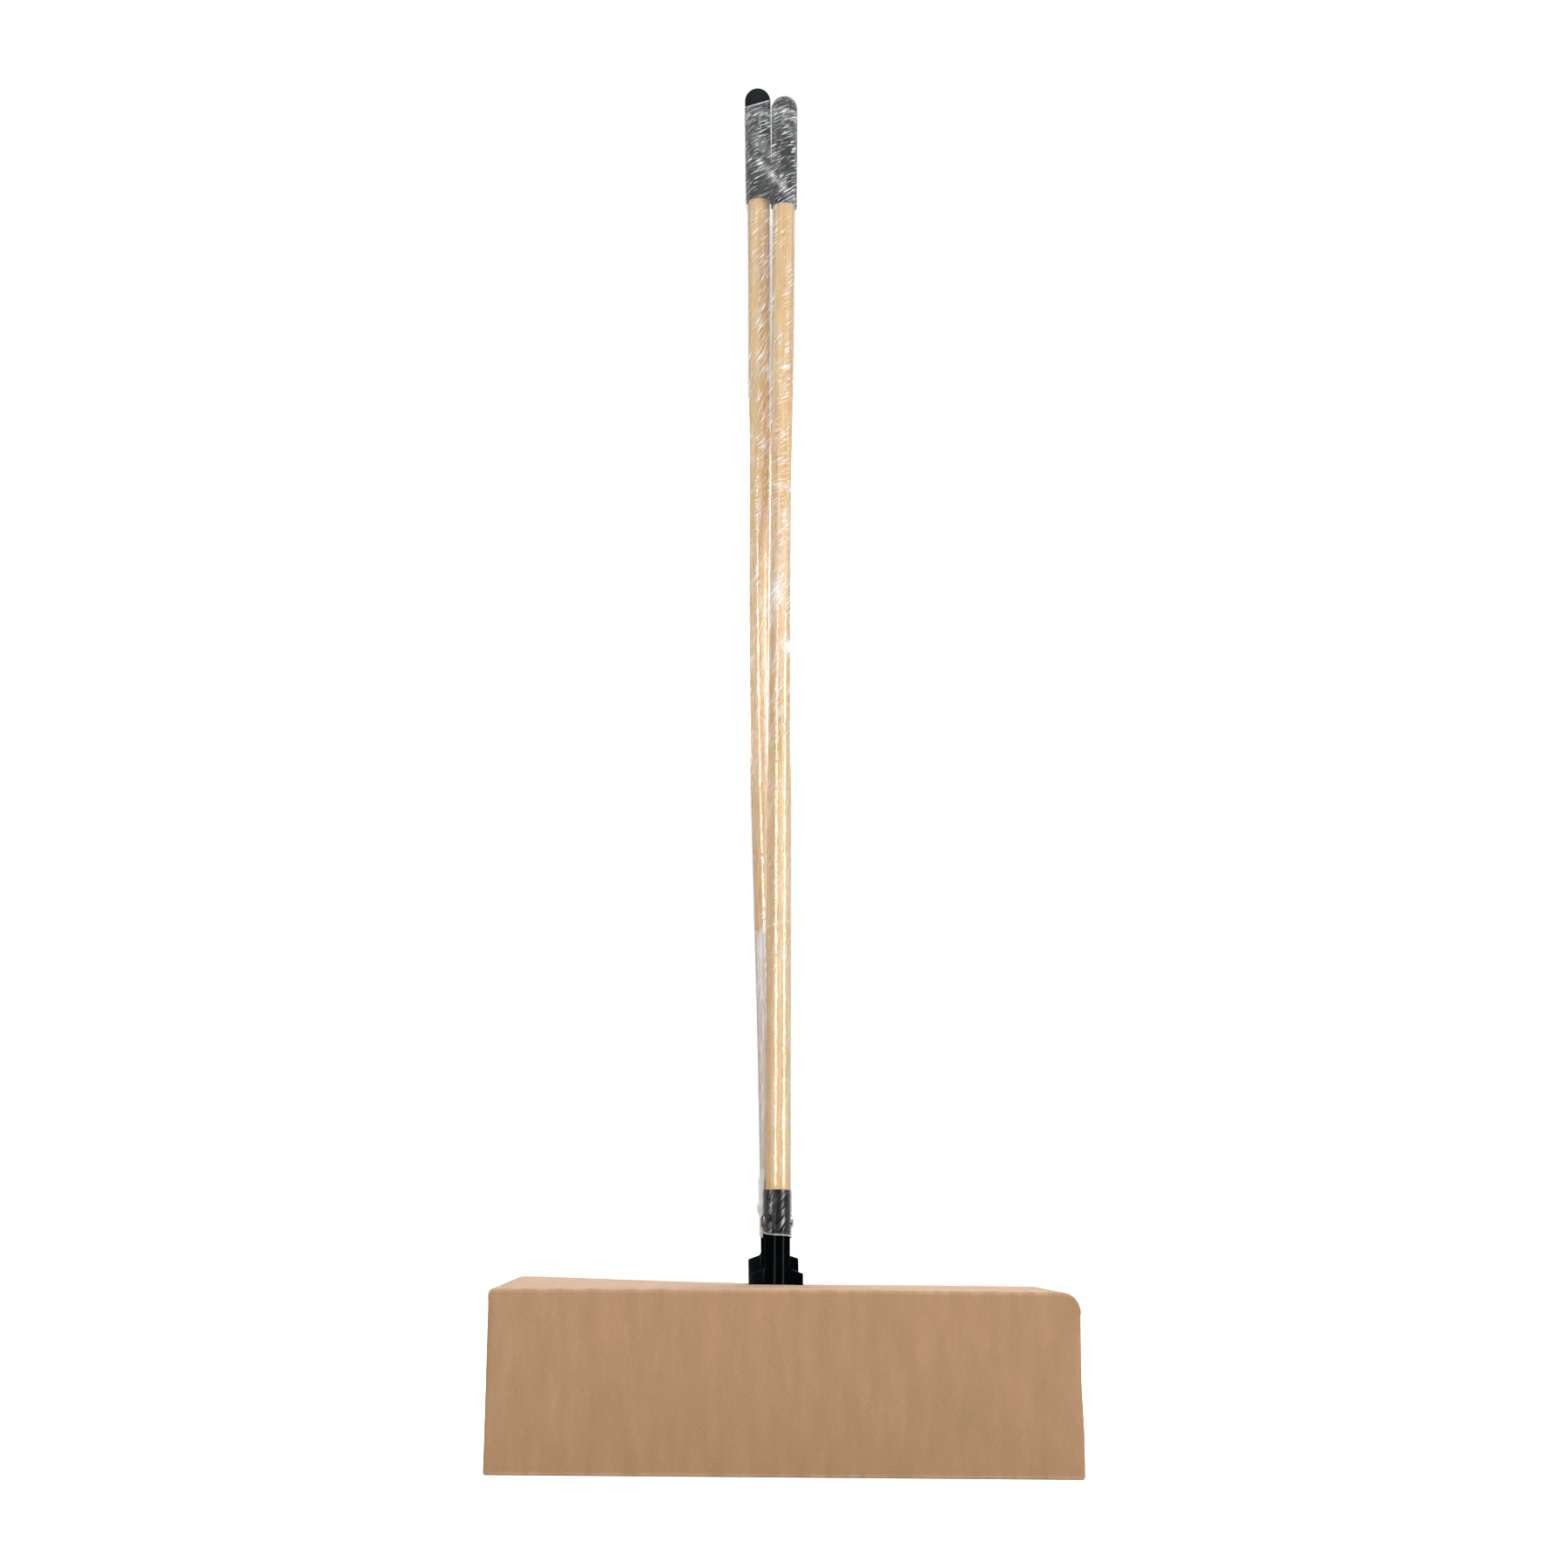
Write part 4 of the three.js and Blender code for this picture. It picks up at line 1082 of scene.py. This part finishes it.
def film_look(around, height, looseness, to_edge, to_join):
    """How white the film is and how many creases it has. Loose parts are whiter; layer ends and cut edges
    get a whiter line, a painted highlight, and so do the crease dashes and some patches. The upright fold in
    front of the gap between the handles, found by to_join, the distance to where the web meets the front
    handle, is drawn grey, as painted shade over the gap."""
    layer_end = LAYER_END + 4 * MM * np.sin(around / (15 * MM))
    low_web = looseness**0.4 * (1 - smoothstep(-2 * MM, 2 * MM, height - layer_end)) * 0.55
    # painted shade: a grey line down the gap between the handles, where the film folds into it
    fold_at = 5.3 * MM + 0.015 * (height - 1.25)
    fold_shade = hump(to_join - fold_at, 1.7 * MM) * smoothstep(1.2, 1.35, height)
    fold_shade = fold_shade * (1 - smoothstep(1.51, 1.54, height))
    haze_and_glints = 0.03 + 0.02 * looseness**0.5 + low_web * (1 + 0.7 * (height < SOCKET_EDGE + 10 * MM))
    # painted highlights: whiter lines along the film's cut edges and along the end of one more layer
    haze_and_glints = haze_and_glints + 0.5 * hump(to_edge, 1.3 * MM) + 0.25 * hump(height - layer_end, 1.2 * MM)
    for middle, tall, side, wide, strength in PATCHES:
        haze_and_glints = haze_and_glints + strength * hump(height - middle, tall) * hump(around - side, wide)
    turn = (height + 0.9 * around) / WRAP_RISE
    share = turn - np.floor(turn)
    haze_and_glints = haze_and_glints + 0.06 * (1 - smoothstep(0, 0.32, share)) * (0.4 + 0.6 * smoothstep(0.7, 1.2, height))
    right = np.where(around < 0, around + GRIP_RADIUS * QUARTER, -to_join) # of the front grip's middle
    crossing = hump(height - CROSSING + 1.2 * right, 6 * MM)
    crossing = crossing * (1 - smoothstep(18 * MM, 28 * MM, np.abs(right + 13 * MM)))
    haze_and_glints = haze_and_glints + 0.14 * crossing
    on_sockets = 1 - smoothstep(SOCKET_EDGE - 5 * MM, SOCKET_EDGE + 5 * MM, height)
    # painted highlights: two upright columns of denser white dashes on the sockets, where the film faces the
    # strip lamps
    left_glint, right_glint = (hump(around - at * MM, 2.2 * MM) for at in (-9.5, 5.5))
    # how dense the painted crease highlights are at each height
    bold = np.interp(height, [0.33, 0.8, 1.0, 1.15, 1.3, 1.5], [0.35, 0.45, 0.75, 0.6, 0.8, 0.85])
    bold = bold * (1 - on_sockets) + (0.1 + 0.5 * right_glint) * on_sockets
    fine = np.interp(height, [0.33, 0.7, 0.9, 1.1, 1.3, 1.5, 1.56], [0.3, 0.45, 0.6, 0.55, 0.6, 0.4, 0.25])
    fine = fine * (1 - on_sockets) + (0.08 + 0.7 * left_glint + 0.8 * right_glint) * on_sockets
    haze_and_glints = haze_and_glints * (1 - 0.85 * on_sockets * (to_edge > 2 * MM) * (looseness < 0.01))
    cling = 1 - looseness**0.3
    return {"haze_and_glints": haze_and_glints, "bold_crease_glints": bold, "fine_crease_glints": fine, "cling": cling, "fold_shade": fold_shade}


def finish_sheet(name, points, faces, around, height, looseness, to_edge, to_join):
    mesh = bpy.data.meshes.new(name)
    mesh.from_pydata(points.reshape(-1, 3).tolist(), [], faces.tolist())
    shade(mesh, 80)
    layout = (around, height, looseness, to_edge, to_join)
    around, height, looseness, to_edge, to_join = (a.ravel() for a in layout)
    set_uv(mesh, np.column_stack([around, height]))
    set_uv(mesh, np.column_stack([around, height - around * pull_slope(height)]), "pull")
    for attribute, values in film_look(around, height, looseness, to_edge, to_join).items():
        add_float(mesh, attribute, values)
    return link(name, mesh, MATERIALS["film"])


def wrapped_quads(rows, columns):
    grid = np.arange(rows * columns).reshape(rows, columns)
    following = np.roll(grid, -1, axis=1)
    corners = (grid[:-1], following[:-1], following[1:], grid[1:])
    return np.column_stack([corner.ravel() for corner in corners])


def make_film():
    rows = np.arange(FILM_BOTTOM, FILM_TOP, 2.2 * MM)
    rings = [film_ring(z) for z in rows]
    points = np.zeros((len(rows), len(rings[0][0]), 3))
    for i, (z, (ring, normals, around, looseness)) in enumerate(zip(rows, rings)):
        lower = np.exp(-(z - FILM_BOTTOM) / (8 * MM))
        stand = wrinkles(around, z, looseness) + 0.4 * MM * lower
        points[i, :, :2] = ring + normals * stand[:, None]
        slant = 3.2 * MM * np.clip(around / (24 * MM), -1, 1)
        points[i, :, 2] = z + lower * (0.8 * MM * np.sin(around / (9 * MM)) - slant)
    around = np.array([ring[2] for ring in rings])
    looseness = np.array([ring[3] for ring in rings])
    height = np.repeat(rows[:, None], points.shape[1], axis=1)
    quads = wrapped_quads(*around.shape)
    to_join = around[:, -1:] - around
    film = finish_sheet("film_belt", points, quads, around, height, looseness, height - FILM_BOTTOM, to_join)
    settle(film, ["stretch_film"])
    for tool in TOOLS:
        make_film_cap(tool)


def make_film_cap(tool):
    """The film above the fork between the grips: it clings to each grip, and closes over the front one."""
    columns, rows = 72, 27
    centre_height = GRIP_TOP - GRIP_RADIUS
    first = float(tool.along(FILM_TOP)) - 16 * MM
    angle = 2 * math.pi * np.arange(columns) / columns - QUARTER
    around = (np.mod(angle + 1.5 * math.pi, 2 * math.pi) - math.pi) * GRIP_RADIUS
    if tool.name == "front":
        edge = np.full(columns, centre_height + GRIP_RADIUS * QUARTER * 0.985)
    else:
        turn = around / GRIP_RADIUS
        edge = centre_height + (-2.2 + 4.9 * np.sin(turn) - 8.6 * np.cos(turn)) * MM
    share = np.linspace(0, 1, rows)[:, None]
    travel = share * (edge - first)
    spread = np.repeat(around[None], rows, axis=0)
    stand = wrinkles(spread, FILM_TOP + travel, 0 * travel)
    reach = GRIP_RADIUS + 0.4 * MM + 0.7 * stand
    over = np.maximum(0, travel - (centre_height - first)) / GRIP_RADIUS
    radius = reach * np.cos(over)
    height = np.where(over > 0, centre_height + reach * np.sin(over), first + travel)
    points = np.stack([radius * np.cos(angle), radius * np.sin(angle), height], axis=-1)
    far = 0 * travel + 1
    to_edge = edge - first - travel + (1 if tool.name == "front" else 0)
    quads = wrapped_quads(rows, columns)
    layout = (spread, FILM_TOP + travel, 0 * travel, to_edge, far)
    cap = finish_sheet(f"film_cap_{tool.name}", points, quads, *layout)
    settle(cap, ["stretch_film"], tool.matrix)


# ---- The studio ----
# How bright the surroundings light the object, and how bright its gloss shows them.
AMBIENT, MIRRORED = 0.6, 0.05


def by_ray(shaders, links, kind, otherwise, surface):
    """One shader for a kind of ray, such as those straight from the camera, and another for the rest."""
    path = shaders.new("ShaderNodeLightPath")
    mix = shaders.new("ShaderNodeMixShader")
    links.new(path.outputs[kind], mix.inputs[0])
    links.new(otherwise, mix.inputs[1])
    links.new(surface, mix.inputs[2])
    return mix.outputs[0]


# The camera's place, its focal length in millimetres, and how many degrees it looks up and rolls.
EYE = (-4.9 * MM, -2.577, 0.308)
LENS, LOOK_UP, ROLL = 49.8, 10.55, 0.46


def make_studio():
    bpy.ops.mesh.primitive_plane_add(size=40, location=(0, 8, -0.0003))
    floor = bpy.context.object
    floor.name = "studio_floor"
    pale = Material("studio_white", Roughness=0.9, Specular_IOR_Level=0.0)
    pale.set("Base Color", (0.6, 0.6, 0.6, 1))
    glow = pale.node("ShaderNodeEmission", {"Strength": 0.9})
    added = pale.node("ShaderNodeAddShader")
    pale.links.new(pale.shader.outputs[0], added.inputs[0])
    pale.links.new(glow.outputs[0], added.inputs[1])
    dark = pale.node("ShaderNodeEmission", {"Strength": MIRRORED})
    surface = by_ray(pale.nodes, pale.links, "Is Glossy Ray", pale.shader.outputs[0], dark.outputs[0])
    surface = by_ray(pale.nodes, pale.links, "Is Camera Ray", surface, added.outputs[0])
    pale.links.new(surface, pale.nodes["Material Output"].inputs["Surface"])
    floor.data.materials.append(pale.material)

    world = bpy.data.worlds.new("studio_light")
    world.use_nodes = True
    shaders, links = world.node_tree.nodes, world.node_tree.links
    seen, shone, mirrored = (shaders.new("ShaderNodeBackground") for _ in range(3))
    for background, strength in ((seen, 1.0), (shone, AMBIENT), (mirrored, MIRRORED)):
        background.inputs["Color"].default_value = (1, 1, 1, 1)
        background.inputs["Strength"].default_value = strength
    surface = by_ray(shaders, links, "Is Glossy Ray", shone.outputs[0], mirrored.outputs[0])
    surface = by_ray(shaders, links, "Is Camera Ray", surface, seen.outputs[0])
    links.new(surface, shaders["World Output"].inputs["Surface"])
    bpy.context.scene.world = world

    def lamp(name, place, aim, width, height, power):
        data = bpy.data.lights.new(name, "AREA")
        data.shape, data.size, data.size_y, data.energy = "RECTANGLE", width, height, power
        obj = bpy.data.objects.new(name, data)
        obj.location = place
        obj.rotation_euler = (Vector(aim) - Vector(place)).to_track_quat("-Z", "Y").to_euler()
        obj.visible_camera = False
        bpy.context.scene.collection.objects.link(obj)

    lamp("strip_left", (-1.0, -2.35, 0.95), (0, 0, 0.9), 0.3, 1.7, 38)
    lamp("strip_right", (2.1, -1.35, 0.95), (0, 0, 0.9), 0.36, 1.7, 40)
    lamp("low_top_light", (0, 0.75, 1.25), (0, 0, 0.2), 1.4, 0.7, 26)
    lamp("top_light", (-0.3, -0.8, 3.4), (0, 0, 0.6), 1.2, 1.0, 20)
    lamp("rim_light", (0.9, 2.4, 2.2), (0, 0, 0.9), 1.2, 1.6, 10)

    camera_data = bpy.data.cameras.new("camera")
    camera_data.sensor_width = 36
    camera_data.lens = LENS
    camera = bpy.data.objects.new("camera", camera_data)
    pitch, roll = math.radians(90 + LOOK_UP), math.radians(ROLL)
    camera.matrix_world = move(*EYE) @ rotate(pitch, "X") @ rotate(roll, "Z")
    bpy.context.scene.collection.objects.link(camera)
    bpy.context.scene.camera = camera
    bpy.context.scene.view_settings.view_transform = "Standard"


make_studio()
make_carton()
for one in TOOLS:
    make_handle(one)
    make_grip(one)
    make_bracket(one)
    make_cross_bolt(one)
    make_block(one)
    make_bristles(one)
    make_blade(one)
    make_screws(one)
make_film()
